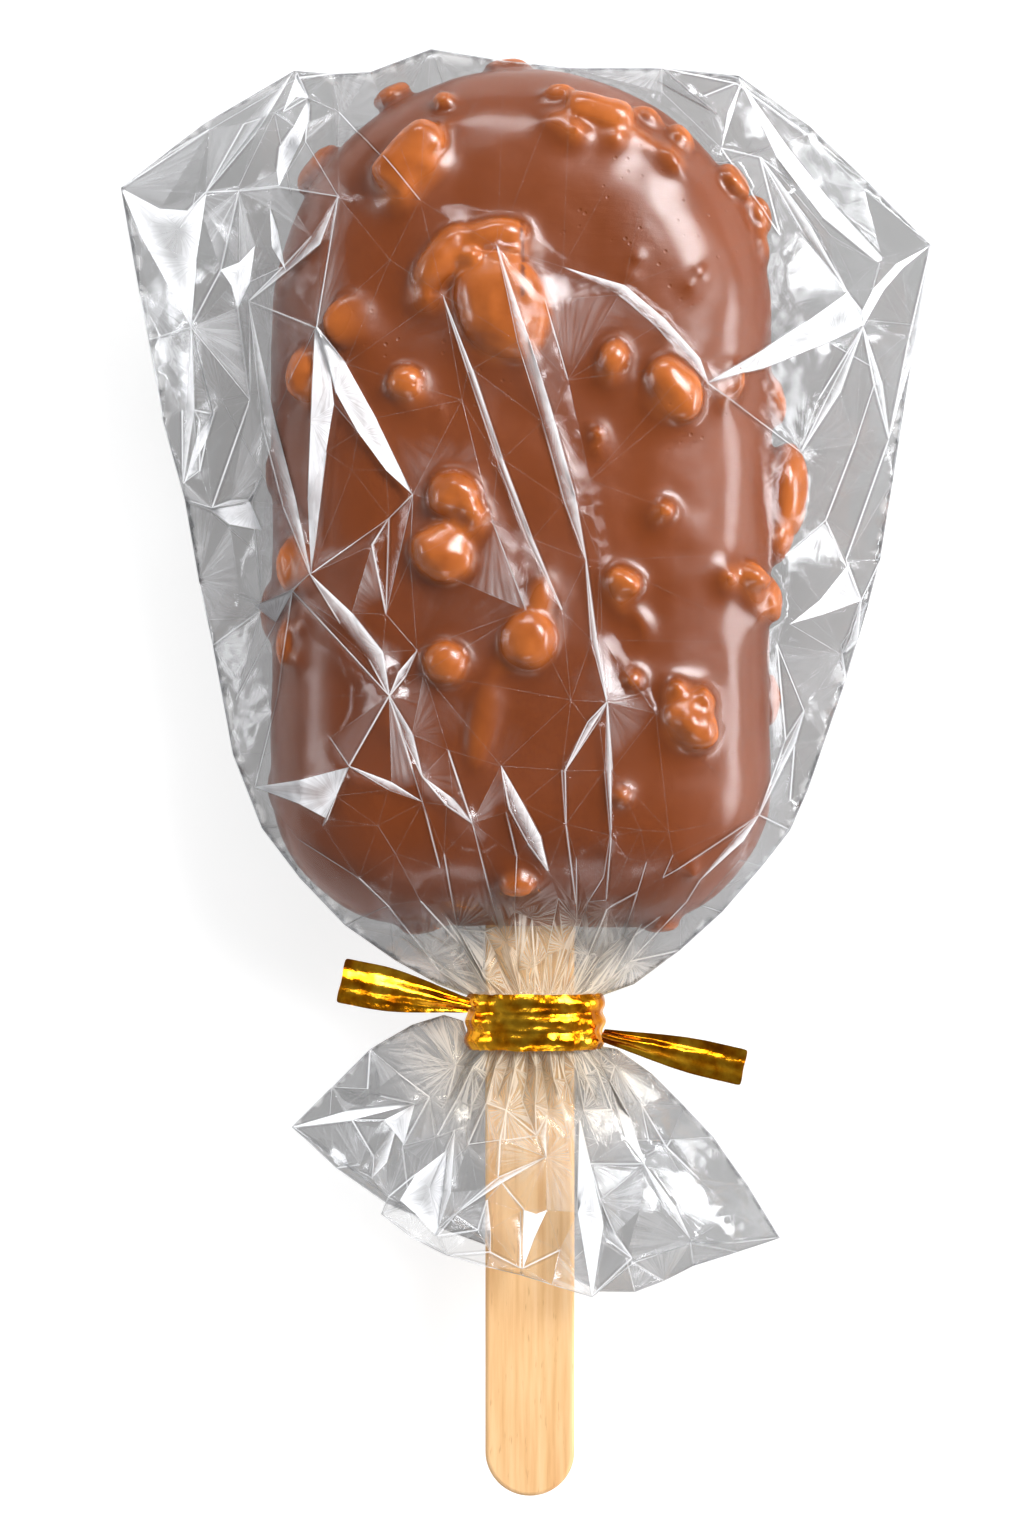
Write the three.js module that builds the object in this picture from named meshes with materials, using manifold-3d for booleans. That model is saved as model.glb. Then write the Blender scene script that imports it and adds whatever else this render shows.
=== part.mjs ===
// A cakesicle in its tied clear bag: a coated bar on a flat wooden stick, sealed in a film bag whose mouth is gathered
// round the stick and closed with a wound foil tie. The bag is solid out to its film, with a slot for the stick.
// Millimetres. The object lies on its back: X runs across the bar, +Y towards its round end, +Z up.
// The origin is on the surface that it lies on, under the middle of the whole object.
import * as THREE from "three";
import { mergeVertices } from "three/addons/utils/BufferGeometryUtils.js";
import Module from "manifold-3d";

const wasm = await Module();
wasm.setup();

// Driving dimensions
const GAP = 0.35; // air left between neighbouring pieces
const HALF_LENGTH = 81.4; // from the origin to the stick's end, and to the highest point of the bag's seam
const MID_Z = 13; // height of the stick's middle plane, which the neck and the tie share

const STICK = { x: 0.55, length: 114, width: 10, thick: 2, bevel: 0.45 };
const BAG = {
  width: 91.4,
  top: 29, // the film over the bar's highest nuts
  shoulder: 0.56, // share of the half width over which the film lies level on the bar
  endRound: 0.13, // share of the body's length in which the film comes down to the top seam
  foldsFrom: 0.5, // share of the body's length where the gathering's folds start to show
  foldsTo: 0.9, // and where they are deepest
  neckShare: 0.74, // share of the body's length where the film starts to close on the neck
  pleat: 0.55, // height of the gathering's folds
  neckPleat: 0.16, // and inside the tie, where they are pressed
};
const NECK = { x: 1.1, half: 6.6, deep: 3.5, top: -24, bottom: -31 };
const SKIRT = { up: 8.5, down: 10.5, pleat: 2.2 };
const TIE = { height: 6, wall: 0.6, ridge: 0.55, ridges: 3, pinch: 2, foil: 0.5, crease: 0.8 };
const TAILS = [
  { from: [-4.6, -26.6, 16.6], to: [-20.8, -23.6, 20.2], width: 4.6 },
  { from: [6.9, -28.8, 16.4], to: [24.7, -33.2, 20], width: 3.8 },
];

// Outlines of the flat bag seen from above, in millimetres. The top seam runs from the left corner to the right one,
// the side folds from there to the neck, the skirt's sides from the neck to the hem, and the hem from left to right.
const halfWidth = BAG.width / 2;
const SEAM = [
  [-halfWidth, 65.6],
  [-26, 78.8],
  [-17.4, 78.7],
  [-10.6, HALF_LENGTH],
  [-2.2, 79.8],
  [15.4, 79.1],
  [24, 78.2],
  [halfWidth, 59.2],
];
const LEFT_FOLD = [
  [-halfWidth, 65.6],
  [-38.2, 30.5],
  [-32.8, 2],
  [-29.6, -6.4],
  [-20.2, -17.3],
  [-9.6, -23],
  [NECK.x - NECK.half, NECK.top],
];
const RIGHT_FOLD = [
  [halfWidth, 59.2],
  [42.7, 41.8],
  [37.1, 14.8],
  [33.7, 3.5],
  [29.8, -6.6],
  [24.2, -13.3],
  [17.4, -19.6],
  [9.8, -23.2],
  [NECK.x + NECK.half, NECK.top],
];
const NECK_TOP = [LEFT_FOLD.at(-1), RIGHT_FOLD.at(-1)];
const NECK_BOTTOM = NECK_TOP.map(([x]) => [x, NECK.bottom]);
const HEM = [
  [-26, -40],
  [-15.3, -48.2],
  [-6.5, -54.6],
  [-0.8, -56.8],
  [7.5, -59.2],
  [15.8, -57.2],
  [28.7, -52.6],
];
const SKIRT_LEFT = [NECK_BOTTOM[0], [-15.2, -32.6], HEM[0]];
const SKIRT_RIGHT = [NECK_BOTTOM[1], [16.1, -36], [21.2, -41.2], HEM.at(-1)];

// Steps of the faceted surfaces
const COLUMNS = 28; // of each film layer, from left to right
const BODY_ROWS = 22;
const SKIRT_ROWS = 7;
const BAND_STEPS = 40;
const TAIL_STEPS = 8;

const wood = new THREE.MeshStandardMaterial({ color: 0xf6cc96, roughness: 0.7, metalness: 0 });
const film = new THREE.MeshStandardMaterial({ color: 0xdfe2e8, roughness: 0.08, metalness: 0 });
const foil = new THREE.MeshStandardMaterial({ color: 0xd6a21c, roughness: 0.25, metalness: 1 });

const { lerp: mix, smoothstep } = THREE.MathUtils;

// --- Solids and skins ---------------------------------------------------------------------------------------------

function toSolid(geometry) {
  const bare = geometry.clone();
  bare.deleteAttribute("normal");
  bare.deleteAttribute("uv");
  const merged = mergeVertices(bare, 1e-4);
  const vertProperties = new Float32Array(merged.attributes.position.array);
  const triVerts = new Uint32Array(merged.index.array);
  return new wasm.Manifold(new wasm.Mesh({ numProp: 3, vertProperties, triVerts }));
}

function toGeometry(solid) {
  const { vertProperties, triVerts } = solid.getMesh();
  const geometry = new THREE.BufferGeometry();
  geometry.setAttribute("position", new THREE.BufferAttribute(vertProperties, 3));
  geometry.setIndex(new THREE.BufferAttribute(triVerts, 1));
  geometry.computeVertexNormals();
  return geometry;
}

// Joins rings of points into a skin. Each ring runs anticlockwise as seen from the ring that follows it.
function skin(rings, caps = []) {
  const count = rings[0].length;
  const index = [...caps];
  for (let ring = 0; ring + 1 < rings.length; ring++) {
    for (let i = 0; i < count; i++) {
      const a = ring * count + i;
      const b = ring * count + ((i + 1) % count);
      index.push(a, b, a + count, b, b + count, a + count);
    }
  }
  const geometry = new THREE.BufferGeometry().setFromPoints(rings.flat());
  geometry.setIndex(index);
  return geometry;
}

// A flat cap over a ring that starts at the given vertex, made of strips between its two facing halves.
function cap(start, count, facesNext) {
  const index = [];
  const push = (a, b, c) => index.push(...(facesNext ? [a, b, c] : [a, c, b]));
  for (let i = 0; 2 * i < count; i++) {
    const [near, nearNext] = [start + i, start + i + 1];
    const [far, farNext] = [start + ((count - i) % count), start + count - i - 1];
    if (near !== far) push(near, nearNext, far);
    if (nearNext !== farNext) push(nearNext, farNext, far);
  }
  return index;
}

// --- The stick ----------------------------------------------------------------------------------------------------

// The stick, everywhere larger by grow than its real size.
function stickSolid(grow) {
  const radius = STICK.width / 2;
  const shape = new THREE.Shape();
  shape.absarc(STICK.x, radius - HALF_LENGTH, radius - STICK.bevel + grow, Math.PI, 2 * Math.PI, false);
  shape.absarc(STICK.x, STICK.length - radius - HALF_LENGTH, radius - STICK.bevel + grow, 0, Math.PI, false);
  shape.closePath();
  const depth = STICK.thick - 2 * STICK.bevel + 2 * grow;
  const bevel = { bevelThickness: STICK.bevel, bevelSize: STICK.bevel, bevelSegments: 3 };
  const geometry = new THREE.ExtrudeGeometry(shape, { depth, curveSegments: 16, ...bevel });
  geometry.translate(0, 0, MID_Z - depth / 2);
  return toSolid(geometry);
}

// --- The bag ------------------------------------------------------------------------------------------------------

// The point at the share t of the way along a chain of straight stretches.
function along(chain, t) {
  const lengths = chain.slice(1).map(([x, y], i) => Math.hypot(x - chain[i][0], y - chain[i][1]));
  let rest = t * lengths.reduce((sum, length) => sum + length, 0);
  let i = 0;
  while (i < lengths.length - 1 && rest > lengths[i]) rest -= lengths[i++];
  return [0, 1].map((k) => mix(chain[i][k], chain[i + 1][k], rest / lengths[i]));
}

// The point of a patch with four outlines, at the share u from left to right and v from its top to its foot.
function onPatch({ top, foot, left, right }, u, v) {
  const [t, f, l, r] = [along(top, u), along(foot, u), along(left, v), along(right, v)];
  const corner = (chain, k) => mix(chain[0][k], chain.at(-1)[k], u);
  return [0, 1].map((k) => mix(t[k], f[k], v) + mix(l[k], r[k], u) - mix(corner(top, k), corner(foot, k), v));
}

// A sharp, slightly uneven fold: up and down between neighbouring columns.
function pleat(column) {
  return (column % 2 ? 1 : -1) * (0.75 + 0.25 * Math.sin(2.3 * column));
}

// Half the depth of the film round the gathered neck, where s is the share of the half width from its middle.
function neckDepth(s) {
  return NECK.deep * Math.sqrt(1 - s * s);
}

// Height of the body's film. side is 1 for the upper layer and -1 for the one that the bag lies on.
function bodyHeight(column, u, v, side) {
  const s = Math.abs(2 * u - 1);
  const reach = side > 0 ? BAG.top - MID_Z : MID_Z;
  const acrossShare = Math.min(1, (1 - s) / (1 - BAG.shoulder));
  const endShare = Math.sqrt(1 - Math.max(0, 1 - v / BAG.endRound) ** 2);
  const gathered = smoothstep(v, BAG.neckShare, 1);
  const upperFolds = side > 0 ? BAG.pleat * smoothstep(v, BAG.foldsFrom, BAG.foldsTo) : 0;
  const fold = mix(upperFolds, BAG.neckPleat, gathered) * pleat(column) * (1 - s * s);
  return MID_Z + side * mix(reach * acrossShare * endShare, neckDepth(s), gathered) + fold;
}

function skirtHeight(column, u, v, side) {
  const s = Math.abs(2 * u - 1);
  const open = side > 0 ? SKIRT.up : SKIRT.down;
  const fold = mix(BAG.neckPleat, SKIRT.pleat, v) * pleat(column) * (1 - s * s);
  return MID_Z + side * mix(neckDepth(s), open * Math.sqrt(1 - s * s), v) + fold;
}

// One closed ring of film: the upper layer from left to right, and the lower one back again.
function filmRing(patch, heightAt, v) {
  const layer = (side) =>
    Array.from({ length: COLUMNS + 1 }, (_, column) => {
      const u = column / COLUMNS;
      return new THREE.Vector3(...onPatch(patch, u, v), heightAt(column, u, v, side));
    });
  return [...layer(1), ...layer(-1).slice(1, -1).reverse()];
}

function bagSolid() {
  const body = { top: SEAM, foot: NECK_TOP, left: LEFT_FOLD, right: RIGHT_FOLD };
  const skirt = { top: NECK_BOTTOM, foot: HEM, left: SKIRT_LEFT, right: SKIRT_RIGHT };
  const rings = [];
  for (let row = SKIRT_ROWS; row >= 0; row--) rings.push(filmRing(skirt, skirtHeight, row / SKIRT_ROWS));
  for (let row = BODY_ROWS; row >= 0; row--) rings.push(filmRing(body, bodyHeight, row / BODY_ROWS));
  // At the top seam the two layers meet, so only the hem needs a face between them.
  return toSolid(skin(rings, cap(0, rings[0].length, false)));
}

// --- The tie ------------------------------------------------------------------------------------------------------

// The ribbon wound round the neck, with a ridge for each turn of its wire.
function tieBand() {
  const middle = (NECK.top + NECK.bottom) / 2;
  const profile = [[0, TIE.height / 2]];
  for (let i = 0; i <= 2 * TIE.ridges; i++) {
    profile.push([TIE.wall + (i % 2 ? TIE.ridge : 0), TIE.height * (0.5 - i / (2 * TIE.ridges))]);
  }
  profile.push([0, -TIE.height / 2]);
  const rings = profile.map(([out, y]) =>
    Array.from({ length: BAND_STEPS }, (_, i) => {
      const angle = (2 * Math.PI * i) / BAND_STEPS;
      const x = (NECK.half + GAP + out) * Math.cos(angle);
      const z = (NECK.deep + 2 * GAP + out) * Math.sin(angle);
      return new THREE.Vector3(NECK.x + x, middle + y, MID_Z + z);
    }),
  );
  return toSolid(skin([...rings, rings[0]]));
}

// A free end of the ribbon: pinched where it leaves the band, opening to its full width, with the wire's crease.
function tieTail({ from, to, width }) {
  const start = new THREE.Vector3(...from);
  const way = new THREE.Vector3(...to).sub(start);
  const across = new THREE.Vector3(-way.y, way.x, 0).normalize();
  const up = way.clone().cross(across).normalize();
  const rings = Array.from({ length: TAIL_STEPS + 1 }, (_, step) => {
    const t = step / TAIL_STEPS;
    const half = mix(TIE.pinch, width, smoothstep(t, 0, 0.8)) / 2;
    const crease = TIE.crease * (1 - t / 2);
    const at = start.clone().addScaledVector(way, t);
    const edge = (share, lift) =>
      at
        .clone()
        .addScaledVector(across, share * half)
        .addScaledVector(up, lift);
    const under = [edge(-1, -crease), edge(0, crease), edge(1, -crease)];
    return [...under, edge(1, TIE.foil - crease), edge(0, TIE.foil + crease), edge(-1, TIE.foil - crease)];
  });
  const last = (rings.length - 1) * rings[0].length;
  return toSolid(skin(rings, [...cap(0, rings[0].length, false), ...cap(last, rings[0].length, true)]));
}

function tieSolid() {
  return TAILS.map(tieTail).reduce((tie, tail) => tie.add(tail), tieBand());
}

// --- Assembly -----------------------------------------------------------------------------------------------------

function piece(name, solid, material) {
  const mesh = new THREE.Mesh(toGeometry(solid), material);
  mesh.name = name;
  return mesh;
}

const group = new THREE.Group();
group.add(piece("bag", bagSolid().subtract(stickSolid(GAP)), film));
group.add(piece("stick", stickSolid(0), wood));
group.add(piece("twist_tie", tieSolid(), foil));

export default group;
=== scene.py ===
"""A cakesicle in a tied clear bag, lying on its back: coated bar, crumpled film, foil tie and wooden stick.

Places that the photograph shows are written as its pixels, x to the right and y down, and turned into
metres by seen(). Heights are above the floor. The camera looks straight down from above.
"""

import math
import random

import bmesh
import bpy
import numpy as np
from mathutils import Matrix, Vector
from mathutils.bvhtree import BVHTree
from mathutils.geometry import delaunay_2d_cdt


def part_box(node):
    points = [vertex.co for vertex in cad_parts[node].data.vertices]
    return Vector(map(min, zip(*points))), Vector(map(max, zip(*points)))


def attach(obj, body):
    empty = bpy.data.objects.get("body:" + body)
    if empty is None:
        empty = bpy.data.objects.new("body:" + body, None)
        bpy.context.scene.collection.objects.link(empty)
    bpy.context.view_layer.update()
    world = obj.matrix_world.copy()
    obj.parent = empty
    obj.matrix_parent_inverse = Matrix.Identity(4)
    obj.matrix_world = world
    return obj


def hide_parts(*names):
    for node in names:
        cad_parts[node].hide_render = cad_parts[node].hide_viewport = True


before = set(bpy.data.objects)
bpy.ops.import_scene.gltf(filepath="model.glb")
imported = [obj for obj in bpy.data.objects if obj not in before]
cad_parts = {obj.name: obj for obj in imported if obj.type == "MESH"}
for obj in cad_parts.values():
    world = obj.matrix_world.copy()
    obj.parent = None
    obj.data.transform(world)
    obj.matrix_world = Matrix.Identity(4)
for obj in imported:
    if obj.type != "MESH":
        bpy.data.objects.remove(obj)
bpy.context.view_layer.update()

MM = 0.001

# The photograph's frame, and the camera that shows it
PIXEL = 0.1125 * MM  # size of a pixel at the height of the stick
PHOTO_SIZE = (1024, 1536)
ORIGIN_PIXEL = (525, 771.5)
LENS = 120
SENSOR = 36

STICK_LOW, STICK_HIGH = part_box("stick")
MID = (STICK_LOW.z + STICK_HIGH.z) / 2
CAMERA_X = (PHOTO_SIZE[0] / 2 - ORIGIN_PIXEL[0]) * PIXEL
CAMERA_Y = (ORIGIN_PIXEL[1] - PHOTO_SIZE[1] / 2) * PIXEL
CAMERA_DISTANCE = PHOTO_SIZE[1] * PIXEL * LENS / SENSOR

# The bar
FACE = 24.2 * MM  # height of its broad upper face
UNDERSIDE = 1.3 * MM
BAR_LEFT, BAR_RIGHT, BAR_TOP, BAR_FOOT = 272, 771, 71, 928
RIM_WIDE = 14 * MM  # the rim is an ellipse: so wide, seen from above, and so tall
RIM_TALL = 11.3 * MM
STRETCH = RIM_WIDE / RIM_TALL
ROUND_END = 0.497  # radius of the round end, as a share of the bar's width
FOOT_RADIUS = 16 * MM
DOME = 1.0 * MM  # how far the middle of the face stands above its rim
DOME_RINGS = 12
COAT_GRAIN = 0.47 * MM
SLOT_GAP = 0.2 * MM

# The film
FILM = 0.05 * MM
CLEARANCE = 0.35 * MM  # between the film and the coating
FLOOR_GAP = 0.12 * MM
SEAL = 0.9 * MM  # width of the sealed strip along the top
NECK_LEFT, NECK_MIDDLE, NECK_RIGHT = 470, 535, 600
NECK_TOP, NECK_FOOT = 996, 1046
NECK_DEPTH = 3.4 * MM
PLEATS = 18
RIM_STEP = 0.8  # mm between the points of the film's outline
# Shallow folds that fan out from a facet's corners: how many round a full turn, and their tilt in radians
FAN_FOLDS = ((7, 0.065), (12, 0.07), (19, 0.065))
RAYS_PER_RADIAN = 13
SAG = 3.2  # 1 is straight film from the bar to the fold, and more hangs deeper
NECK_START = 905  # pixel row where the film starts to close round the neck
WAVES_END = (880, 960)  # pixel rows between which the side folds stop waving
TAUT_FROM = 400  # pixel column from which the film on the face is smooth
CREASE_LIFT = 0.5  # mm that a crease stands off the taut film between its stars
SKIRT_OPEN = 1230  # pixel row where the skirt has opened out
SKIRT_SPREAD, SKIRT_SHIFT = 170, 10  # how much wider it is there to each side, and how far to the right
SKIRT_DEPTH = {1: 5.6 * MM, -1: 7.0 * MM}  # how far its upper and lower layer are from the middle height
SOFT_PASSES = 16  # how often the film is evened out between the creases that stay sharp
KEPT_SHARE = 0.3  # of the creases that aren't drawn

# The lights: where each stands, its width and height, and how bright its face is
LIGHTS = {
    "key": (Vector((0.42, 0.34, 0.52)), (0.66, 0.52), 20.5),
    "left": (Vector((-0.66, 0.08, 0.28)), (0.6, 0.24), 6.5),
    "right": (Vector((0.72, -0.02, 0.22)), (0.8, 0.36), 11.0),
    "top": (Vector((-0.08, 0.62, 0.38)), (0.6, 0.22), 10.0),
    "low": (Vector((0.05, -0.62, 0.4)), (0.5, 0.2), 4.5),
}
AIM = Vector((0, 0.02, 0.01))  # the point that they face


def seen(px, py, z=MID):
    """The point at height z that the camera shows at this pixel of the photograph."""
    shrink = 1 - (z - MID) / CAMERA_DISTANCE
    x = (px - ORIGIN_PIXEL[0]) * PIXEL
    y = (ORIGIN_PIXEL[1] - py) * PIXEL
    return Vector((CAMERA_X + (x - CAMERA_X) * shrink, CAMERA_Y + (y - CAMERA_Y) * shrink, z))


def pixels(words):
    """Reads pixels that are written as x,y or, with a lift in millimetres, as x,y,lift."""
    return [tuple(float(number) for number in word.split(",")) for word in words.split()]


def stars(words):
    """Reads points as x,y,lift, named by the letter before them and their number: a1, a2, and so on."""
    found = {}
    for word in words.split():
        if word.isalpha():
            letter, number = word, 0
        else:
            number += 1
            found[f"{letter}{number}"] = pixels(word)[0]
    return found


# --- Modelling by hand ----------------------------------------------------------------------------


def deselect():
    if bpy.context.mode != "OBJECT":
        bpy.ops.object.mode_set(mode="OBJECT")
    bpy.ops.object.select_all(action="DESELECT")


def named(name):
    """Takes the primitive that was just added as a piece of this name."""
    piece = bpy.context.active_object
    piece.name = name
    piece.data.name = name
    return piece


def make_active(piece):
    deselect()
    piece.select_set(True)
    bpy.context.view_layer.objects.active = piece


def select(piece, kind, test):
    """Selects, in edit mode, the verts, edges or faces of the piece that pass the test."""
    make_active(piece)
    bpy.ops.object.mode_set(mode="EDIT")
    bpy.ops.mesh.select_mode(type=kind)
    bpy.ops.mesh.select_all(action="DESELECT")
    mesh = bmesh.from_edit_mesh(piece.data)
    for part in {"VERT": mesh.verts, "EDGE": mesh.edges, "FACE": mesh.faces}[kind]:
        if test(part):
            part.select_set(True)
    mesh.select_flush_mode()
    bmesh.update_edit_mesh(piece.data)


def finish_editing():
    bpy.ops.object.mode_set(mode="OBJECT")


def edit(piece, kind, test, operator, **settings):
    """Runs one edit-mode operator on the verts, edges or faces that pass the test."""
    select(piece, kind, test)
    operator(**settings)
    finish_editing()


def everything(_):
    return True


def settle(piece):
    """Moves the piece's place, turn and size into its mesh."""
    make_active(piece)
    bpy.ops.object.transform_apply(location=True, rotation=True, scale=True)


def modify(piece, kind, **settings):
    make_active(piece)
    modifier = piece.modifiers.new(kind.lower(), kind)
    for key, value in settings.items():
        setattr(modifier, key, value)
    bpy.ops.object.modifier_apply(modifier=modifier.name)


def join(pieces):
    make_active(pieces[0])
    for piece in pieces:
        piece.select_set(True)
    bpy.ops.object.join()
    return pieces[0]


def clouds(name, size, depth=2):
    texture = bpy.data.textures.new(name, "CLOUDS")
    texture.noise_scale = size
    texture.noise_depth = depth
    return texture


def tree_of(piece):
    mesh = bmesh.new()
    mesh.from_mesh(piece.data)
    tree = BVHTree.FromBMesh(mesh)
    mesh.free()
    return tree


# --- The bar --------------------------------------------------------------------------------------

# Nuts under the coating on the shown face: their pixel, their length and width in pixels, how far they
# stand out of the coating in millimetres, how they are turned, and how lumpy they are.
FACE_NUTS = [
    (409, 152, 96, 54, 3.4, 48, 0.12),
    (444, 98, 26, 24, 1.5, 0, 0.02),
    (441, 258, 90, 40, 2.8, 54, 0.05),
    (490, 235, 84, 36, 2.6, 8, 0.06),
    (503, 306, 126, 96, 3.6, -62, 0.05),
    (406, 382, 40, 38, 2.2, 0, 0.04),
    (440, 410, 9, 8, 0.6, 0, 0),
    (452, 494, 62, 50, 2.9, 10, 0.1),
    (472, 512, 32, 32, 3.0, 0, 0.06),
    (444, 552, 72, 60, 3.2, -28, 0.1),
    (446, 663, 48, 46, 2.4, 0, 0.05),
    (529, 640, 64, 60, 3.0, 30, 0.04),
    (540, 600, 60, 30, 1.4, 80, 0.02),
    (518, 884, 42, 34, 2.0, 0, 0.03),
    (613, 357, 39, 32, 2.2, 72, 0.04),
    (597, 434, 20, 19, 1.3, 0, 0),
    (665, 510, 25, 25, 1.6, 0, 0),
    (674, 388, 74, 56, 2.2, -58, 0.1),
    (624, 582, 44, 32, 2.4, -24, 0.06),
    (640, 618, 54, 20, 0.7, -58, 0),
    (634, 679, 24, 24, 1.5, 0, 0),
    (678, 688, 26, 24, 1.8, 0, 0.03),
    (691, 724, 66, 52, 3.2, -55, 0.1),
    (704, 700, 36, 26, 2.6, -70, 0.06),
    (622, 796, 22, 20, 1.3, 0, 0),
    (752, 574, 50, 32, 2.8, -18, 0.06),
    (772, 596, 56, 34, 3.0, -74, 0.04),
    (601, 108, 76, 36, 2.6, -12, 0.12),
    (556, 92, 44, 26, 1.1, 20, 0.06),
    (648, 112, 40, 24, 1.5, -38, 0.06),
    (682, 134, 40, 26, 2.0, -52, 0.06),
    (700, 270, 12, 12, 0.9, 0, 0),
    (637, 257, 9, 9, 0.7, 0, 0),
    (695, 875, 13, 12, 0.9, 0, 0),
    (352, 318, 70, 54, 1.2, 30, 0.02),
    (304, 368, 60, 40, 2.2, 70, 0.06),
    (290, 560, 62, 36, 2.2, 82, 0.06),
    (286, 640, 56, 24, 1.6, 84, 0.05),
    (484, 716, 120, 34, 0.9, 80, 0.02),
    (736, 380, 44, 26, 1.0, 80, 0.03),
]
# Nuts on the bar's side: the pixel of their middle, their height above the floor, their size along the
# outline, across it and from top to bottom, in millimetres, and their turn.
SIDE_NUTS = [
    (733, 182, 16, 5.0, 3.2, 5.0, -50),
    (757, 216, 13, 5.4, 3.4, 6.0, -74),
    (758, 250, 14, 6.0, 2.6, 6.0, -88),
    (772, 400, 13, 6.0, 3.2, 7.0, -80),
    (785, 494, 12, 12.4, 5.8, 9.0, 88),
    (778, 540, 13, 6.0, 4.0, 6.0, 70),
    (318, 170, 11, 7.4, 3.0, 6.0, 50),
    (392, 97, 12, 5.0, 2.6, 6.0, 30),
    (508, 72, 11, 6.0, 2.6, 5.0, 0),
    (278, 470, 11, 6.4, 3.0, 6.0, 88),
    (274, 612, 12, 7.4, 3.4, 7.0, 90),
    (768, 700, 8, 6.4, 3.0, 6.0, 88),
    (280, 790, 12, 6.0, 3.0, 5.0, -84),
    (420, 926, 12, 6.0, 2.8, 5.0, 0),
    (660, 924, 14, 5.0, 2.6, 5.0, 0),
]
BLOCKY = 0.11  # lumpier nuts than this are blocks
BLOCK_SHIFT = 0.1  # how far a block's corners are shifted, as a share of its least size
BLOCK_BEVEL = 0.34  # how wide its edges are cut, as a share of it too
BALL_SHIFT = 0.8  # how far a ball's points are shifted, as a share of its lumpiness and its least size
MOUND_RISE = 0.75  # how far the coating is drawn up round a nut, as a share of the nut's rise
MOUND_REACH = 0.62  # how far from the nut, as a share of its width
UNDERSIDE_NUTS = 16
BARE_SIDE, BARE_TOP, BARE_FOOT = 70, 90, 60  # pixels next to the bar's outline that have none
LOOK_FROM = 20 * MM  # how far off the surface the places of the nuts are looked up from
SHOULDER = (668, 190)  # middle of the pitted patch of coating, in pixels


def is_broad(face):
    """Whether a face is the bar's flat top or underside, which has a corner for each step of the outline."""
    return len(face.verts) > 8


def bar_body():
    """The bar without its nuts: a block with a round end, two rounded corners, a soft rim and a low dome."""
    left = seen(BAR_LEFT, BAR_FOOT)
    right = seen(BAR_RIGHT, BAR_TOP)
    size = Vector((right.x - left.x, right.y - left.y, STRETCH * (FACE - UNDERSIDE)))
    middle = Vector(((left.x + right.x) / 2, (left.y + right.y) / 2, (FACE + UNDERSIDE) / 2))
    deselect()
    bpy.ops.mesh.primitive_cube_add(size=1, location=middle)
    body = named("bar_body")
    bpy.ops.transform.resize(value=size)
    settle(body)

    def upright(edge, at_round_end):
        ends = edge.verts
        return abs(ends[0].co.z - ends[1].co.z) > size.z / 2 and (ends[0].co.y > middle.y) == at_round_end

    for at_round_end, radius, steps in ((True, ROUND_END * size.x, 28), (False, FOOT_RADIUS, 14)):
        select(body, "EDGE", lambda edge: upright(edge, at_round_end))
        bpy.ops.mesh.bevel(offset=radius, segments=steps, affect="EDGES")
        finish_editing()
    select(body, "EDGE", lambda edge: any(is_broad(face) for face in edge.link_faces))
    bpy.ops.mesh.bevel(offset=RIM_WIDE, segments=16, affect="EDGES")
    bpy.ops.mesh.select_all(action="SELECT")
    bpy.ops.transform.resize(value=(1, 1, 1 / STRETCH), center_override=middle)
    finish_editing()
    for ring in range(1, DOME_RINGS + 1):
        rise = DOME * (smooth_step(0, DOME_RINGS, ring) - smooth_step(0, DOME_RINGS, ring - 1))
        shrink = (DOME_RINGS - ring + 0.5) / (DOME_RINGS - ring + 1.5)
        select(body, "FACE", lambda face: is_broad(face) and face.normal.z > 0.9)
        bpy.ops.mesh.extrude_region_move(TRANSFORM_OT_translate={"value": (0, 0, rise)})
        bpy.ops.transform.resize(value=(shrink, shrink, 1), center_override=middle)
        finish_editing()
    return body


def cut_slot(body):
    """Cuts the slot that the stick sits in, open at the bar's foot."""
    low, high = STICK_LOW, STICK_HIGH
    foot = seen(0, BAR_FOOT).y - 5 * MM
    deselect()
    bpy.ops.mesh.primitive_cube_add(size=1, location=((low.x + high.x) / 2, (foot + high.y) / 2, MID))
    cutter = named("slot_cutter")
    size = (high.x - low.x, high.y - foot, high.z - low.z)
    bpy.ops.transform.resize(value=[length + 2 * SLOT_GAP for length in size])
    settle(cutter)
    modify(body, "BOOLEAN", operation="DIFFERENCE", object=cutter, solver="EXACT")
    bpy.data.objects.remove(cutter)


def nut(place, size, turn, lumpy, seed):
    """One nut: a ball, or a block with blunt edges if very lumpy, stretched, turned and made uneven."""
    blocky = lumpy > BLOCKY
    deselect()
    if blocky:
        bpy.ops.mesh.primitive_cube_add(size=0.9, location=place)
    else:
        bpy.ops.mesh.primitive_ico_sphere_add(subdivisions=2, radius=0.5, location=place)
    piece = named("nut")
    bpy.ops.transform.resize(value=size)
    bpy.ops.object.transform_apply(location=False, rotation=False, scale=True)
    bpy.ops.object.mode_set(mode="EDIT")
    bpy.ops.mesh.select_all(action="SELECT")
    least = min(size)
    if blocky:
        bpy.ops.transform.vertex_random(offset=BLOCK_SHIFT * least, uniform=0.9, normal=0, seed=seed + 50)
        bpy.ops.mesh.bevel(offset=BLOCK_BEVEL * least, segments=2, affect="EDGES")
    elif lumpy:
        bpy.ops.transform.vertex_random(offset=BALL_SHIFT * lumpy * least, uniform=0.7, normal=0.5, seed=seed)
    finish_editing()
    modify(piece, "SUBSURF", levels=2, render_levels=2)
    piece.rotation_euler.z = math.radians(turn)
    settle(piece)
    return piece


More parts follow.
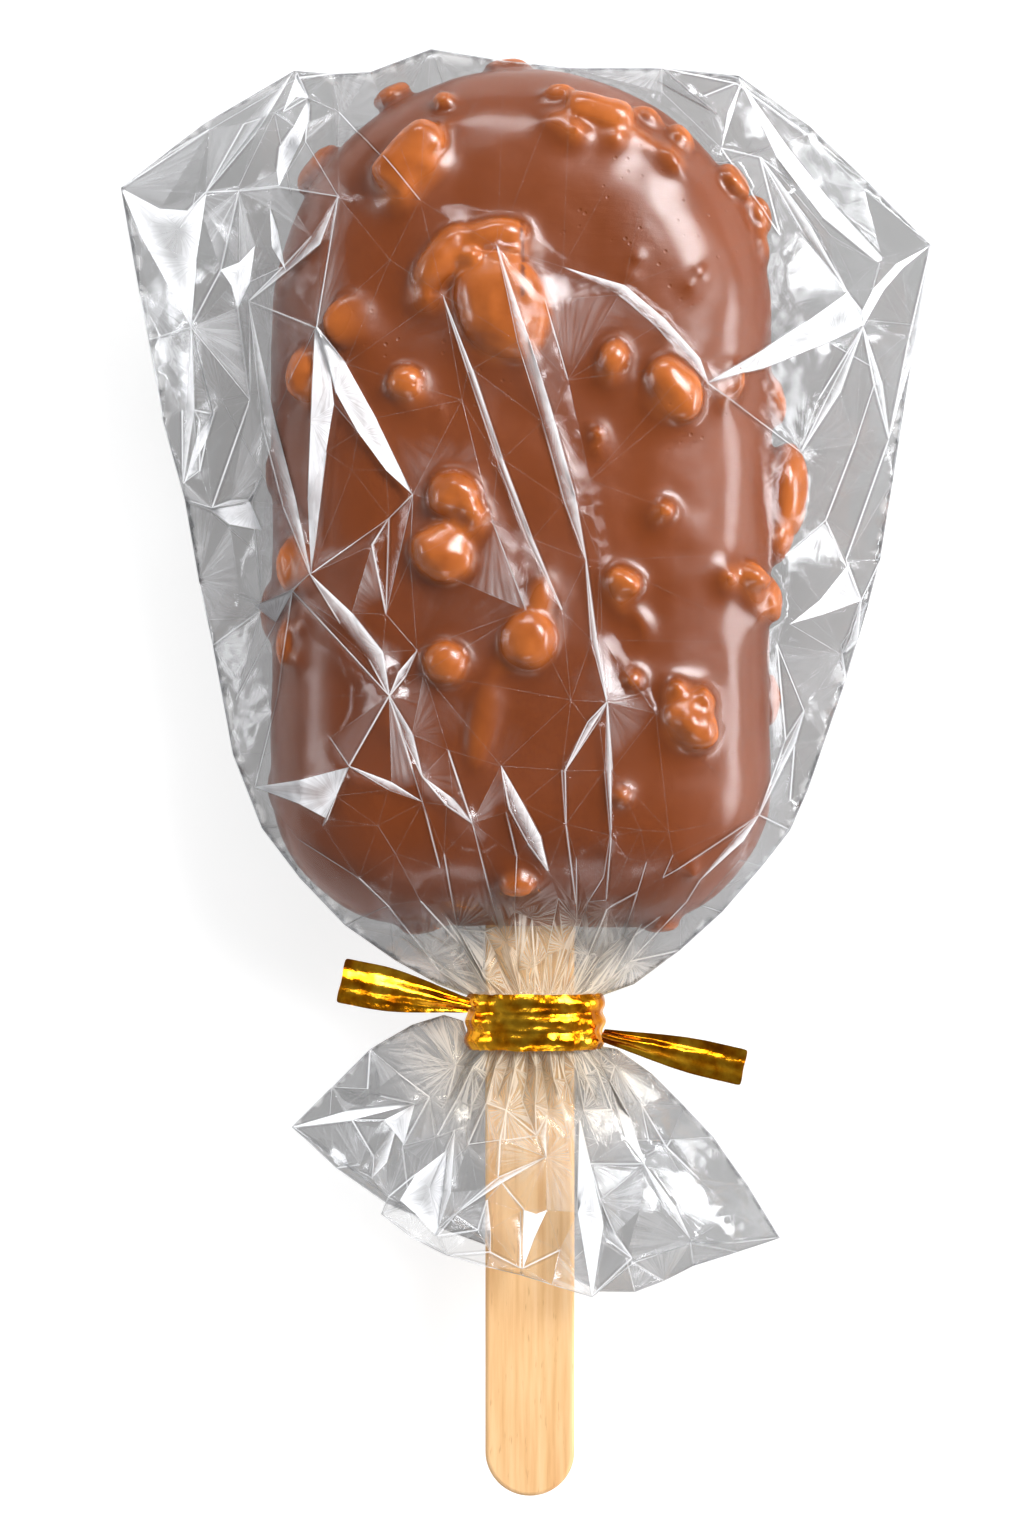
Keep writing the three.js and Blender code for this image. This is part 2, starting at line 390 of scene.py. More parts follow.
def first_hit(tree, start, up=-1):
    """Where a line straight down from the start, or straight up, first meets the surface, or None."""
    return tree.ray_cast(start, Vector((0, 0, up)))[0]


def mounds(body, tree):
    """Draws the coating up round each nut on the face, steepest next to the nut."""
    for px, py, long, wide, rise, turn, _ in FACE_NUTS:
        half = (long - wide) / 2 * PIXEL
        along = Vector((math.cos(math.radians(turn)), math.sin(math.radians(turn)), 0))
        for end in (-1, 1) if half > 0.2 * wide * PIXEL else (0,):
            hit = first_hit(tree, seen(px, py, FACE + LOOK_FROM) + end * half * along)
            if hit is None:
                continue
            near = min(body.data.vertices, key=lambda vertex: (vertex.co - hit).length_squared).index
            edit(
                body,
                "VERT",
                lambda vert: vert.index == near,
                bpy.ops.transform.translate,
                value=(0, 0, MOUND_RISE * rise * MM),
                use_proportional_edit=True,
                proportional_edit_falloff="SHARP",
                proportional_size=MOUND_REACH * wide * PIXEL + 1.6 * MM,
            )


def face_nuts(tree):
    nuts = []
    for seed, (px, py, long, wide, rise, turn, lumpy) in enumerate(FACE_NUTS):
        above = seen(px, py, FACE + rise * MM / 2)
        hit = first_hit(tree, above + Vector((0, 0, LOOK_FROM))) or above
        size = (long * PIXEL, wide * PIXEL, 1.7 * rise * MM)
        nuts.append(nut(hit + Vector((0, 0, 0.15 * rise * MM)), size, turn, lumpy, seed))
    return nuts


def side_nuts():
    nuts = []
    for seed, (px, py, z, along, across, tall, turn) in enumerate(SIDE_NUTS):
        size = (along * MM, across * MM, tall * MM)
        nuts.append(nut(seen(px, py, z * MM), size, turn, 0.07, 100 + seed))
    return nuts


def underside_nuts(tree, draw):
    """Small nuts that stand out a little all over the underside, clear of its rim."""
    nuts = []
    for seed in range(UNDERSIDE_NUTS):
        px = draw.uniform(BAR_LEFT + BARE_SIDE, BAR_RIGHT - BARE_SIDE)
        py = draw.uniform(BAR_TOP + BARE_TOP, BAR_FOOT - BARE_FOOT)
        hit = first_hit(tree, seen(px, py, UNDERSIDE) - Vector((0, 0, LOOK_FROM)), 1)
        if hit is None:
            continue
        long = draw.uniform(3, 9) * MM
        wide = long * draw.uniform(0.6, 0.95)
        rise = min(0.75 * MM, 0.2 * long)
        nuts.append(nut(hit, (long, wide, 2 * rise), draw.uniform(0, 180), 0.04, 200 + seed))
    return nuts


def mark_nuts(bar, plain):
    """Stores on each point how far the coating stands out of the plain bar there, from 0 to 1."""
    tree = tree_of(plain)
    proud = np.zeros(len(bar.data.vertices), dtype=np.float32)
    for i, vertex in enumerate(bar.data.vertices):
        near, normal, _, distance = tree.find_nearest(vertex.co)
        if (vertex.co - near).dot(normal) > 0:
            proud[i] = min(1, distance / (1.6 * MM))
    attribute = bar.data.attributes.new("proud", "FLOAT", "POINT")
    attribute.data.foreach_set("value", proud)
    plain_coat = bar.vertex_groups.new(name="plain_coat")
    nutty = bar.vertex_groups.new(name="nutty")
    for i, share in enumerate(proud):
        plain_coat.add([i], 1 - min(1.0, 1.6 * float(share)), "REPLACE")
        nutty.add([i], smooth_step(0.3, 0.9, float(share)), "REPLACE")


def roughen(piece, name, size, strength, depth=2, **settings):
    """Moves the piece's surface in and out by a cloud texture of this grain."""
    modify(
        piece,
        "DISPLACE",
        texture=clouds(name, size, depth),
        texture_coords="LOCAL",
        strength=strength,
        **settings,
    )


def coated_bar():
    """The bar with its nuts, as one smooth coating over all of them."""
    body = bar_body()
    tree = tree_of(body)
    plain = body.copy()
    plain.data = body.data.copy()
    modify(body, "REMESH", mode="VOXEL", voxel_size=1.6 * COAT_GRAIN)
    modify(body, "SMOOTH", factor=0.5, iterations=4)
    mounds(body, tree)
    cut_slot(body)
    nuts = face_nuts(tree) + side_nuts() + underside_nuts(tree, random.Random(7))
    bar = join([body] + nuts)
    bar.name = bar.data.name = "coated_bar"
    modify(bar, "REMESH", mode="VOXEL", voxel_size=COAT_GRAIN)
    modify(bar, "SMOOTH", factor=0.5, iterations=3)
    mark_nuts(bar, plain)
    modify(bar, "SMOOTH", factor=0.5, iterations=10, vertex_group="plain_coat")
    roughen(bar, "coat_waves", 16 * MM, 0.9 * MM)
    roughen(bar, "nut_crags", 2.4 * MM, 0.32 * MM, 1, vertex_group="nutty")
    roughen(bar, "coat_ripples", 3.5 * MM, 0.12 * MM)
    bpy.data.meshes.remove(plain.data)
    make_active(bar)
    bpy.ops.object.shade_smooth()
    return bar


# --- The film -------------------------------------------------------------------------------------

# The bag's outline: its top seam from left to right, and its side folds down to the neck.
TOP_SEAM = pixels("""
    121,188 205,123 294,71 332,74 370,72 431,49 505,61 570,68 662,68 739,76 812,128 870,184 931,245
""")
LEFT_FOLD = pixels("""
    121,188 140,295 163,420 185,500 199,580 213,645 233,754 262,828 300,878 345,925 395,960 438,984
""") + [(NECK_LEFT, NECK_TOP)]
RIGHT_FOLD = pixels("""
    931,245 918,325 905,400 893,480 880,560 868,605 846,680 825,740 808,790 790,830 762,866 722,912
    680,950 634,984
""") + [(NECK_RIGHT, NECK_TOP)]
# Points of the shown layer where creases meet, and how far each stands off the taut film, in millimetres.
STARS = stars("""
    a 180,228,1.8 206,192,0.2 191,327,2.6 262,118,-0.8 307,98,1.6 339,112,-0.4 288,146,-1.2
      279,187,1.2 306,142,0.6
    b 338,196,2.0 286,271,1.4 221,270,-1.0 249,301,2.8 316,327,3.2 240,190,-1.4 330,240,0.4
    c 213,414,-0.8 183,483,0.8 212,508,2.0 199,420,1.4 252,500,-1.2 250,400,0.6 262,606,1.6
      292,590,1.8 240,596,-1.0
    d 413,494,0.9 310,574,3.0 389,518,-0.4 372,545,1.6 352,470,-0.2 386,614,0.4 340,400,0.8
    e 389,696,2.6 417,650,0.4 349,766,2.8 254,787,1.8 327,819,1.2 278,696,-0.6 236,700,1.0
      330,738,-0.2 212,633,0.6
    f 422,776,1.4 423,802,0.2 472,823,2.0 359,878,0.8 300,840,-0.8 440,868,-0.4
    g 497,246,0.8 443,295,0.6 420,200,0.0 390,260,0.2
    h 563,267,0.5 708,383,0.9 863,327,2.4 767,349,0.8 848,294,0.4 696,362,0.2
    i 662,92,1.4 721,148,1.0 760,157,1.8 790,180,-1.0 882,258,0.6 704,96,-1.0 780,235,0.4
      820,236,-1.2
    j 889,439,1.2 855,444,-0.8 861,601,1.8 826,520,-1.0 777,644,0.6 804,711,1.4 842,655,-0.6
      818,400,0.6 846,560,0.4
    k 759,815,1.0 777,770,1.4 790,800,-0.4 740,860,0.8 607,909,0.8 700,905,-0.4
    l 607,702,1.6 599,720,0.4 565,771,1.0 611,837,1.4 562,610,0.8
    m 501,766,0.7 548,871,0.7
""")
# Plain creases between those points, or through pixels given as x,y.
CREASES = [
    "a1 a2 a4 a5 a6",
    "a2 a8 b1 b5",
    "a5 a9 b1",
    "b6 b3 a3",
    "b4 b5 b7 b1",
    "a3 c1 c2",
    "c3 c5 c7 e7",
    "b4 c6 c3",
    "d1 d3 d2",
    "d1 d6 e2",
    "c8 e1",
    "c7 c8 e6 e4",
    "e6 e8 e3",
    "e4 f5 f4",
    "e1 f2 f6",
    "d1 410,560 e2 424,673 448,750 f3 500,930",
    "i1 i2 i3 i8 h5",
    "i3 i7",
    "h3 j8",
    "h3 j2 j4 j3",
    "j3 j7 j6",
    "j5 j6 k2",
    "k1 k4 k6",
    "k1 680,868 k5",
    "l1 l2 l3",
    "j1 j9 j3",
    "g1 545,300 568,380 590,480 600,560 602,640 l1",
    "l1 612,770 l4 606,900",
    "g2 462,400 492,520 526,610",
    "l5 571,700 562,770 566,824 576,904",
    "l3 566,824",
    "602,640 656,713",
]
# Narrow bright bands between two creases, tilted to mirror a light and also whitened by a painted highlight:
# their route, their width in pixels, and the light that they mirror.
BANDS = [
    ("294,71 250,128 a2", 16, "left"),
    ("a3 188,410 c2", 12, "left"),
    ("b1 316,240 b4", 12, "left"),
    ("b4 268,420 290,505 d2", 14, "left"),
    ("d2 346,618 376,656 e1", 15, "left"),
    ("e1 402,674 e2", 8, "key"),
    ("e1 408,736 f1", 9, "left"),
    ("e3 390,786 f2", 8, "low"),
    ("f1 450,802 f3", 9, "key"),
    ("c2 196,470 c4", 8, "left"),
    ("c3 232,505 c5", 9, "top"),
    ("h1 622,290 660,322 h6 h2", 11, "key"),
    ("h5 858,312 h3", 8, "right"),
    ("i3 806,228 h5", 9, "left"),
    ("h3 878,384 j1", 8, "right"),
    ("h3 836,390 801,452", 9, "left"),
    ("931,245 913,340 j1", 9, "right"),
    ("j3 854,640 j7", 8, "right"),
    ("j6 790,742 k1", 10, "right"),
    ("k1 740,838 700,880", 8, "low"),
    ("m1 516,806 534,840 m2", 14, "key"),
    ("l1 590,724 l3", 6, "low"),
    ("g1 523,340 548,420 570,500 586,560", 11, "left"),
    ("586,560 594,640 l1", 5, "left"),
    ("l1 608,770 l4", 6, "left"),
    ("g2 470,370 500,460 530,540 l5", 5, "left"),
]
# Whole facets with a painted highlight.
PATCHES = [
    "121,188 160,209 188,211 206,195 203,216 196,262 191,327 172,292 142,238",
    "297,73 308,98 296,97 283,112",
    "309,100 308,122 301,142 279,186 277,172 280,147 293,128",
    "270,208 278,232 286,271 272,247",
    "221,270 240,262 255,246 250,282 238,308 232,286",
    "316,327 330,368 334,404 326,452 311,574 308,500 311,420",
    "316,327 346,364 376,418 412,494 386,470 358,432 336,392",
    "212,510 246,504 262,476 250,503 262,530 230,524",
    "255,787 300,780 349,767 336,796 326,818 300,804",
    "709,382 736,366 763,350 806,322 848,292 864,325 838,338 764,368",
    "848,565 861,601 824,614 790,624 820,600",
    "739,78 790,150 836,208 882,260 878,262 822,216 776,156",
    "931,245 903,268 884,290 864,325 862,312 874,288 896,264",
    "742,80 734,110 722,147 728,112",
    "294,590 276,622 256,606",
    "214,412 206,440 185,482 196,440",
]
# Facets of the skirt with a painted highlight.
SKIRT_PATCHES = [
    "400,1200 416,1174 447,1150 443,1194 437,1236 416,1214",
    "524,1210 536,1214 547,1210 534,1238 523,1268",
    "610,1082 630,1118 645,1165 626,1140",
    "580,1120 590,1164 603,1224 592,1296 578,1212",
    "293,1127 344,1112 415,1104 352,1120",
    "415,1104 404,1144 384,1120",
]
# Rows of points on the folds that open out above the neck and below it: their pixel row, how far the
# outermost folds are from the middle there, in pixels, and how high the folds stand in millimetres.
GATHERS = [(960, 112, 0.7), (918, 165, 0.6), (872, 205, 0.4), (828, 235, 0.25)]
SKIRT_GATHERS = [(1072, 88, 0.8), (1104, 116, 0.9), (1140, 150, 0.7)]
# The skirt below the tie: its sides from the neck down, and between their ends the hems of its upper and
# lower layer from left to right. Then its bands, and the points where its creases meet.
SKIRT_LEFT = pixels("""
    463,1021 444,1015 412,1025 370,1049 332,1087 292,1127
""")
SKIRT_RIGHT = pixels("""
    617,1049 652,1074 684,1106 713,1137 748,1186 780,1238
""")
UPPER_HEM = pixels("""
    344,1164 388,1197 381,1214 412,1238 446,1255 487,1267 520,1275 552,1285 592,1297 634,1263
    690,1244 736,1243
""")
LOWER_HEM = pixels("""
    336,1168 386,1203 440,1228 500,1250 560,1272 600,1292 635,1292 664,1281 693,1266 738,1252
""")
SKIRT_BANDS = [
    ("398,1120 380,1160 372,1178", 14, "top"),
    ("455,1130 440,1190 437,1232", 22, "left"),
    ("547,1115 541,1136 546,1157", 8, "left"),
    ("546,1157 500,1180 455,1214", 6, "top"),
    ("644,1164 672,1210 690,1238", 9, "key"),
    ("600,1200 610,1236 632,1258", 10, "left"),
    ("487,1200 484,1230 490,1252", 12, "left"),
]
SKIRT_STARS = pixels("""
    546,1157,2.2 437,1236,1.6 520,1268,1.2 671,1140,1.8 644,1164,-0.6 692,1240,1.6 415,1104,1.8
    370,1173,-0.4 370,1094,-0.8 403,1204,-0.8 446,1166,0.6 521,1211,-0.4 547,1210,0.8 576,1118,2.0
    582,1200,1.4 606,1221,-0.6 618,1107,-0.4 649,1142,1.2 640,1210,1.0 455,1214,1.2 478,1190,-0.6
    500,1140,1.4 470,1120,-0.6 330,1120,0.4 700,1180,-0.4 735,1215,0.4 560,1250,-0.4 490,1235,0.8
""")
# Where loose points are strewn, in pixels: the columns and the rows.
LEFT_REGION = ((110, 300), (60, 900))
RIGHT_REGION = ((780, 940), (60, 900))
LOWER_REGION = ((110, 940), (50, 980))
SKIRT_REGION = ((300, 770), (1070, 1290))


def to_bar(x, y):
    """How far a point lies outside the bar's outline as seen from above, or inside it if negative."""
    low = seen(BAR_LEFT, BAR_FOOT)
    high = seen(BAR_RIGHT, BAR_TOP)
    half = (high.x - low.x) / 2
    px = abs(x - (low.x + high.x) / 2)
    if y > high.y - half:
        return math.hypot(px, y - (high.y - half)) - half
    if y < low.y + FOOT_RADIUS and px > half - FOOT_RADIUS:
        return math.hypot(px - (half - FOOT_RADIUS), y - (low.y + FOOT_RADIUS)) - FOOT_RADIUS
    return max(px - half, low.y - y)


def to_chain(x, y, chain):
    """How far a point is from a line of points, as seen from above."""
    best = 1.0
    for a, b in zip(chain, chain[1:]):
        way = (b.x - a.x, b.y - a.y)
        length = way[0] ** 2 + way[1] ** 2
        t = min(1, max(0, ((x - a.x) * way[0] + (y - a.y) * way[1]) / length))
        best = min(best, math.hypot(x - a.x - t * way[0], y - a.y - t * way[1]))
    return best


def smooth_step(low, high, value):
    t = min(1, max(0, (value - low) / (high - low)))
    return t * t * (3 - 2 * t)


def edge_point(px, py):
    """A point of the bag's seam or side fold, which wave a little about the middle height."""
    wave = 1.2 * MM * math.sin(px / 61 + py / 83) * (1 - smooth_step(*WAVES_END, py))
    return seen(px, py, MID + wave)


SEAM = [edge_point(*spot) for spot in TOP_SEAM]
LEFT_SIDE = [edge_point(*spot) for spot in LEFT_FOLD]
RIGHT_SIDE = [edge_point(*spot) for spot in RIGHT_FOLD]


def hug(px, py, layer):
    """Height of plain film: round the bar's rim, and then down to the fold. layer is 1 on top and -1 below.

    Heights are stretched meanwhile, so that the rim is a circle.
    """
    flat = seen(px, py)
    out = to_bar(flat.x, flat.y)
    edge = min(to_chain(flat.x, flat.y, chain) for chain in (LEFT_SIDE, RIGHT_SIDE, SEAM))
    radius = RIM_WIDE + CLEARANCE
    centre = FACE - RIM_TALL if layer > 0 else UNDERSIDE + RIM_TALL
    fold_up = layer * (edge_point(px, py).z - centre) * STRETCH
    fold_out = max(RIM_WIDE + out + edge, 1.002 * radius)
    tangent = math.atan2(fold_up, fold_out) + math.acos(radius / math.hypot(fold_out, fold_up))
    leave_out, leave_up = radius * math.cos(tangent), radius * math.sin(tangent)
    here = RIM_WIDE + out
    if here <= leave_out:
        up = math.sqrt(radius**2 - max(0, here) ** 2)
    else:
        left_to_go = max(0, 1 - (here - leave_out) / (fold_out - leave_out))
        up = fold_up + (leave_up - fold_up) * left_to_go ** (SAG if layer > 0 else 1)
    height = centre + layer * up / STRETCH
    neck = smooth_step(NECK_START, NECK_TOP, py)
    across = min(1, abs(px - NECK_MIDDLE) / (NECK_MIDDLE - NECK_LEFT))
    round_neck = MID + layer * NECK_DEPTH * math.sqrt(1 - across * across)
    return max(FLOOR_GAP, height + (round_neck - height) * neck)


class Sheet:
    """One layer of film in the making: the points where its creases meet, and the creases between them.

    layer is 1 on top and -1 below. plain gives the height of smooth film at a pixel. roof is the
    coating's surface, that the film stays clear of.
    """

    def __init__(self, layer, border, plain, roof=None):
        self.layer = layer
        self.border = border
        self.inside = inside_of(border)
        self.plain = plain
        self.roof = roof
        self.points = []
        self.edges = []
        self.places = {}
        self.painted_glints = []  # outlines that get a painted highlight, and for a band its two sides
        for point in border:
            self.add(point)

    def surface(self, x, y):
        """Height of the coating over or under a point, or None beside the bar."""
        if self.roof is None:
            return None
        up = Vector((0, 0, self.layer))
        hit = self.roof.ray_cast(Vector((x, y, MID)) + up * 0.05, -up)[0]
        return hit.z if hit and self.layer * (hit.z - MID) > 0 else None

    def film(self, px, py, lift=0):
        """A point of the film: on the taut film, clear of the coating, and lifted by so many millimetres."""
        z = self.plain(px, py, self.layer)
        spot = seen(px, py, z)
        under = self.surface(spot.x, spot.y)
        if under is not None:
            z = self.layer * max(self.layer * z, self.layer * under + CLEARANCE)
        return seen(px, py, max(z + self.layer * lift * MM, FLOOR_GAP))

    def add(self, point):
        key = (round(point.x / (0.1 * MM)), round(point.y / (0.1 * MM)))
        if key not in self.places:
            self.places[key] = len(self.points)
            self.points.append(point)
        return self.places[key]

    def chain(self, points):
        indices = [self.add(point) for point in points]
        self.edges += [(a, b) for a, b in zip(indices, indices[1:]) if a != b]

    def band(self, spots, width, light):
        """A strip pointed at both ends, tilted so that it mirrors a light towards the eye above, and given a
        painted highlight too.
        """
        sides = [[], []]
        for i, point in enumerate(spots):
            if i in (0, len(spots) - 1):
                sides[0].append(point)
                sides[1].append(point)
                continue
            way = spots[i + 1] - spots[i - 1]
            aside = Vector((-way.y, way.x, 0)).normalized()
            mirror = (LIGHTS[light][0] - point).normalized() + Vector((0, 0, 1))
            rise = -mirror.dot(aside) / mirror.z
            half = width * PIXEL / 2
            sides[0].append(point + half * (aside + Vector((0, 0, rise))))
            sides[1].append(point - half * (aside + Vector((0, 0, rise))))
        for side in sides:
            self.chain(side)
        self.painted_glints.append((sides[0] + sides[1][::-1], sides))

    def patch(self, spots):
        """A whole facet with a painted highlight."""
        self.chain(spots + spots[:1])
        self.painted_glints.append((spots, None))

    def scatter(self, draw, count, region, lift, apart):
        """Adds loose points that keep some distance from all others, so that wide facets break up."""
        added = 0
        for _ in range(count * 12):
            if added >= count:
                break
            point = self.film(draw.uniform(*region[0]), draw.uniform(*region[1]), draw.uniform(-lift, lift))
            flat = Vector((point.x, point.y))
            if self.inside(point) and all((flat - Vector((p.x, p.y))).length > apart for p in self.points):
                self.add(point)
                added += 1

    def facets(self):
        """The flat facets between the creases: an array of points, one of triples, and the drawn creases."""
        outline = [self.add(point) for point in self.border]
        flat = [Vector((p.x, p.y)) / MM for p in self.points]
        verts, edges, faces, sources, drawn, _ = delaunay_2d_cdt(flat, self.edges, [outline], 1, 1e-4)
        points = []
        for vert, source in zip(verts, sources):
            if source:
                points.append(self.points[source[0]] / MM)
            else:
                points.append(Vector((vert.x, vert.y, self.height_of_crossing(vert))))
        creases = {tuple(sorted(edge)) for edge, source in zip(edges, drawn) if source}
        return np.array(points), np.array(faces), creases

    def height_of_crossing(self, vert):
        """Height where two creases cross: the mean of the two."""
        heights = []
        for a, b in self.edges:
            start, end = self.points[a] / MM, self.points[b] / MM
            way = Vector((end.x - start.x, end.y - start.y))
            here = Vector((vert.x - start.x, vert.y - start.y))
            t = here.dot(way) / max(way.length_squared, 1e-9)
            if 0 <= t <= 1 and (here - way * t).length < 0.01:
                heights.append(start.z + (end.z - start.z) * t)
        return sum(heights) / len(heights) if heights else MID / MM


def route(sheet, words):
    """Reads a crease's route over a sheet: each word is a star's name, or a pixel as x,y."""
    points = []
    for word in words.split():
        if word in STARS:
            points.append(sheet.film(*STARS[word]))
            continue
        spot = pixels(word)[0]
        on_edge = spot in TOP_SEAM + LEFT_FOLD + RIGHT_FOLD
        points.append(edge_point(*spot) if on_edge else sheet.film(*spot, CREASE_LIFT))
    return points


def inside_of(polygon):
    def test(point):
        hit = False
        for a, b in zip(polygon, polygon[1:] + polygon[:1]):
            if (a.y > point.y) != (b.y > point.y):
                if point.x < a.x + (point.y - a.y) * (b.x - a.x) / (b.y - a.y):
                    hit = not hit
        return hit

    return test


def pleat(i):
    """How far across the neck pleat i is, from -1 to 1, and 1 if it stands up or -1 if it lies down."""
    return 2 * i / PLEATS - 1, 1 if i % 2 else -1


def neck_point(i, layer, py):
    """A point of the gathered film round the stick, whose folds go up and down by turns."""
    across, up = pleat(i)
    px = NECK_MIDDLE + across * (NECK_MIDDLE - NECK_LEFT)
    if i in (0, PLEATS):
        return seen(px, py, MID)
    return seen(px, py, MID + layer * NECK_DEPTH * math.sqrt(1 - across * across) + up * 0.28 * MM)


def body_border(layer):
    neck = [neck_point(i, layer, NECK_TOP) for i in range(1, PLEATS)]
    return SEAM + RIGHT_SIDE[1:] + neck[::-1] + LEFT_SIDE[:0:-1]


def gathers(sheet, draw):
    """Radial folds that open out above the neck."""
    for i in range(1, PLEATS):
        across, up = pleat(i)
        points = [neck_point(i, sheet.layer, NECK_TOP)]
        last = draw.choice((2, 2, 3, 4))
        for row, (py, spread, lift) in enumerate(GATHERS[:last]):
            px = NECK_MIDDLE + across * spread + draw.uniform(-5, 5)
            lift *= up * draw.uniform(0.6, 1.3) if row < last - 1 else 0
            points.append(sheet.film(px, py + draw.uniform(-20, 20), lift))
        sheet.chain(points)


def seam_line(sheet):
    """The inner edge of the sealed strip, where it runs clear of the bar."""
    for part in (SEAM[:4], SEAM[-5:]):
        line = []
        for before, here, after in zip(part, part[1:], part[2:]):
            way = (after - before).normalized()
            inner = here + Vector((way.y, -way.x, 0)) * SEAL
            line.append(inner + Vector((0, 0, sheet.layer * 0.1 * MM)))
        sheet.chain([part[0]] + line + [part[-1]])


def skirt_gathers(sheet, neck, draw):
    """Radial folds that open out below the neck."""
    for i in range(1, PLEATS):
        across, up = pleat(i)
        points = [neck[i - 1]]
        for py, spread, lift in SKIRT_GATHERS[: 2 + i % 2]:
            px = NECK_MIDDLE + across * spread + draw.uniform(-3, 3)
            point = sheet.film(px, py + draw.uniform(-7, 7), up * lift * draw.uniform(0.6, 1.2))
            if sheet.inside(point):
                points.append(point)
        sheet.chain(points)


# Bands and patches, whose outlines are kept for a painted highlight.
def painted_glints(sheet, bands, patches):
    for words, width, light in bands:
        sheet.band(route(sheet, words), width, light)
    for words in patches:
        sheet.patch(route(sheet, words))


def upper_body(roof):
    """The shown layer of the bag above the tie."""
    sheet = Sheet(1, body_border(1), hug, roof)
    seam_line(sheet)
    painted_glints(sheet, BANDS, PATCHES)
    for words in CREASES:
        sheet.chain(route(sheet, words))
    draw = random.Random(11)
    gathers(sheet, draw)
    for spot in STARS.values():
        sheet.add(sheet.film(*spot))
    sheet.scatter(draw, 40, LEFT_REGION, 0.8, 4.8 * MM)
    sheet.scatter(draw, 24, RIGHT_REGION, 0.7, 4.8 * MM)
    return fine_film(sheet, 0.66)


def lower_body(roof):
    """The layer of the bag that lies on the floor, creased in the same style as the shown one."""
    sheet = Sheet(-1, body_border(-1), hug, roof)
    seam_line(sheet)
    draw = random.Random(23)
    gathers(sheet, draw)
    for px, py, lift in STARS.values():
        place = (px + draw.uniform(-16, 16), py + draw.uniform(-22, 22))
        point = sheet.film(*place, draw.uniform(0.3, 1.2) * lift)
        if to_bar(point.x, point.y) > -3 * MM and sheet.inside(point):
            sheet.add(point)
    sheet.scatter(draw, 80, LOWER_REGION, 1.0, 5.2 * MM)
    return fine_film(sheet, 1.1)


def skirt_height(px, py, layer):
    """Height of the open skirt: round at the neck, and spread out and flattened towards the hem."""
    down = smooth_step(NECK_FOOT, SKIRT_OPEN, py)
    half = NECK_MIDDLE - NECK_LEFT + SKIRT_SPREAD * down
    across = min(1, abs(px - (NECK_MIDDLE + SKIRT_SHIFT * down)) / half)
    depth = NECK_DEPTH * (1 - down) + SKIRT_DEPTH[layer] * down
    return MID + layer * depth * math.sqrt(1 - across * across)


def skirt_layer(hem_spots, layer):
    """One layer of the open skirt, from the neck to its wavy hem."""
    draw = random.Random(31 + layer)
    neck = [neck_point(i, layer, NECK_FOOT) for i in range(PLEATS + 1)]
    left, right = ([seen(px, py, MID) for px, py in side] for side in (SKIRT_LEFT, SKIRT_RIGHT))
    hem = []
    for i, (px, py) in enumerate(hem_spots):
        lift = (1.3 if i % 2 else -1.0) * draw.uniform(0.6, 1.2)
        hem.append(seen(px, py, skirt_height(px, py, layer) + layer * lift * MM))
    sheet = Sheet(layer, neck + right + hem[::-1] + left[::-1], skirt_height)
    if layer > 0:
        painted_glints(sheet, SKIRT_BANDS, SKIRT_PATCHES)
    skirt_gathers(sheet, neck[1:-1], draw)
    for px, py, lift in SKIRT_STARS:
        if layer < 0:
            px += draw.uniform(-14, 14)
            py += draw.uniform(-12, 12)
        point = sheet.film(px, py, lift)
        if sheet.inside(point):
            sheet.add(point)
    sheet.scatter(draw, 40, SKIRT_REGION, 0.9, 3.6 * MM)
    return fine_film(sheet, 0.55)


def sides_of(triangles):
    """The facets on each side of every crease."""
    facets_of = {}
    for number, triangle in enumerate(triangles):
        for a, b in zip(triangle, np.roll(triangle, -1)):
            facets_of.setdefault((int(min(a, b)), int(max(a, b))), []).append(number)
    return facets_of


def kept_creases(points, facets_of, fold, drawn, draw):
    """The creases that stay sharp: the outline, all that are drawn, and some others off the taut face."""
    kept = set()
    for crease, sides in facets_of.items():
        middle = (points[crease[0]] + points[crease[1]]) / 2
        lucky = draw.random() < KEPT_SHARE and fold[crease] > 8 and not is_taut(middle)
        if len(sides) == 1 or crease in drawn or lucky:
            kept.add(crease)
    return kept


def along_creases(points, facets_of, kept, step):
    """Splits every crease into short steps. Gives the flat points, the steps, and the points on kept ones."""
    spots = [tuple(point[:2]) for point in points]
    steps = []
    held = set()
    for (a, b), sides in facets_of.items():
        start, end = points[a][:2], points[b][:2]
        count = max(1, int(np.linalg.norm(end - start) / (RIM_STEP if len(sides) == 1 else step)))
        line = [a]
        for k in range(1, count):
            line.append(len(spots))
            spots.append(tuple(start + (end - start) * k / count))
        line.append(b)
        steps += zip(line, line[1:])
        if (a, b) in kept:
            held.update(line)
    return spots, steps, held


def neighbours(faces, size):
    """The pairs of points that share an edge, and the number of such pairs that each point is in."""
    pairs = np.vstack((faces[:, :2], faces[:, 1:], faces[:, [2, 0]]))
    return pairs, np.maximum(np.bincount(pairs.ravel(), minlength=size), 1)


def neighbour_total(pairs, values):
    """For each point, the sum of the values of its neighbours."""
    total = np.bincount(pairs[:, 0], values[pairs[:, 1]], len(values))
    return total + np.bincount(pairs[:, 1], values[pairs[:, 0]], len(values))


def soften(z, faces, pinned):
    """Evens out the film between the pinned points of its sharp creases."""
    pairs, count = neighbours(faces, len(z))
    for _ in range(SOFT_PASSES):
        z = np.where(pinned, z, 0.3 * z + 0.7 * neighbour_total(pairs, z) / count)
    return z


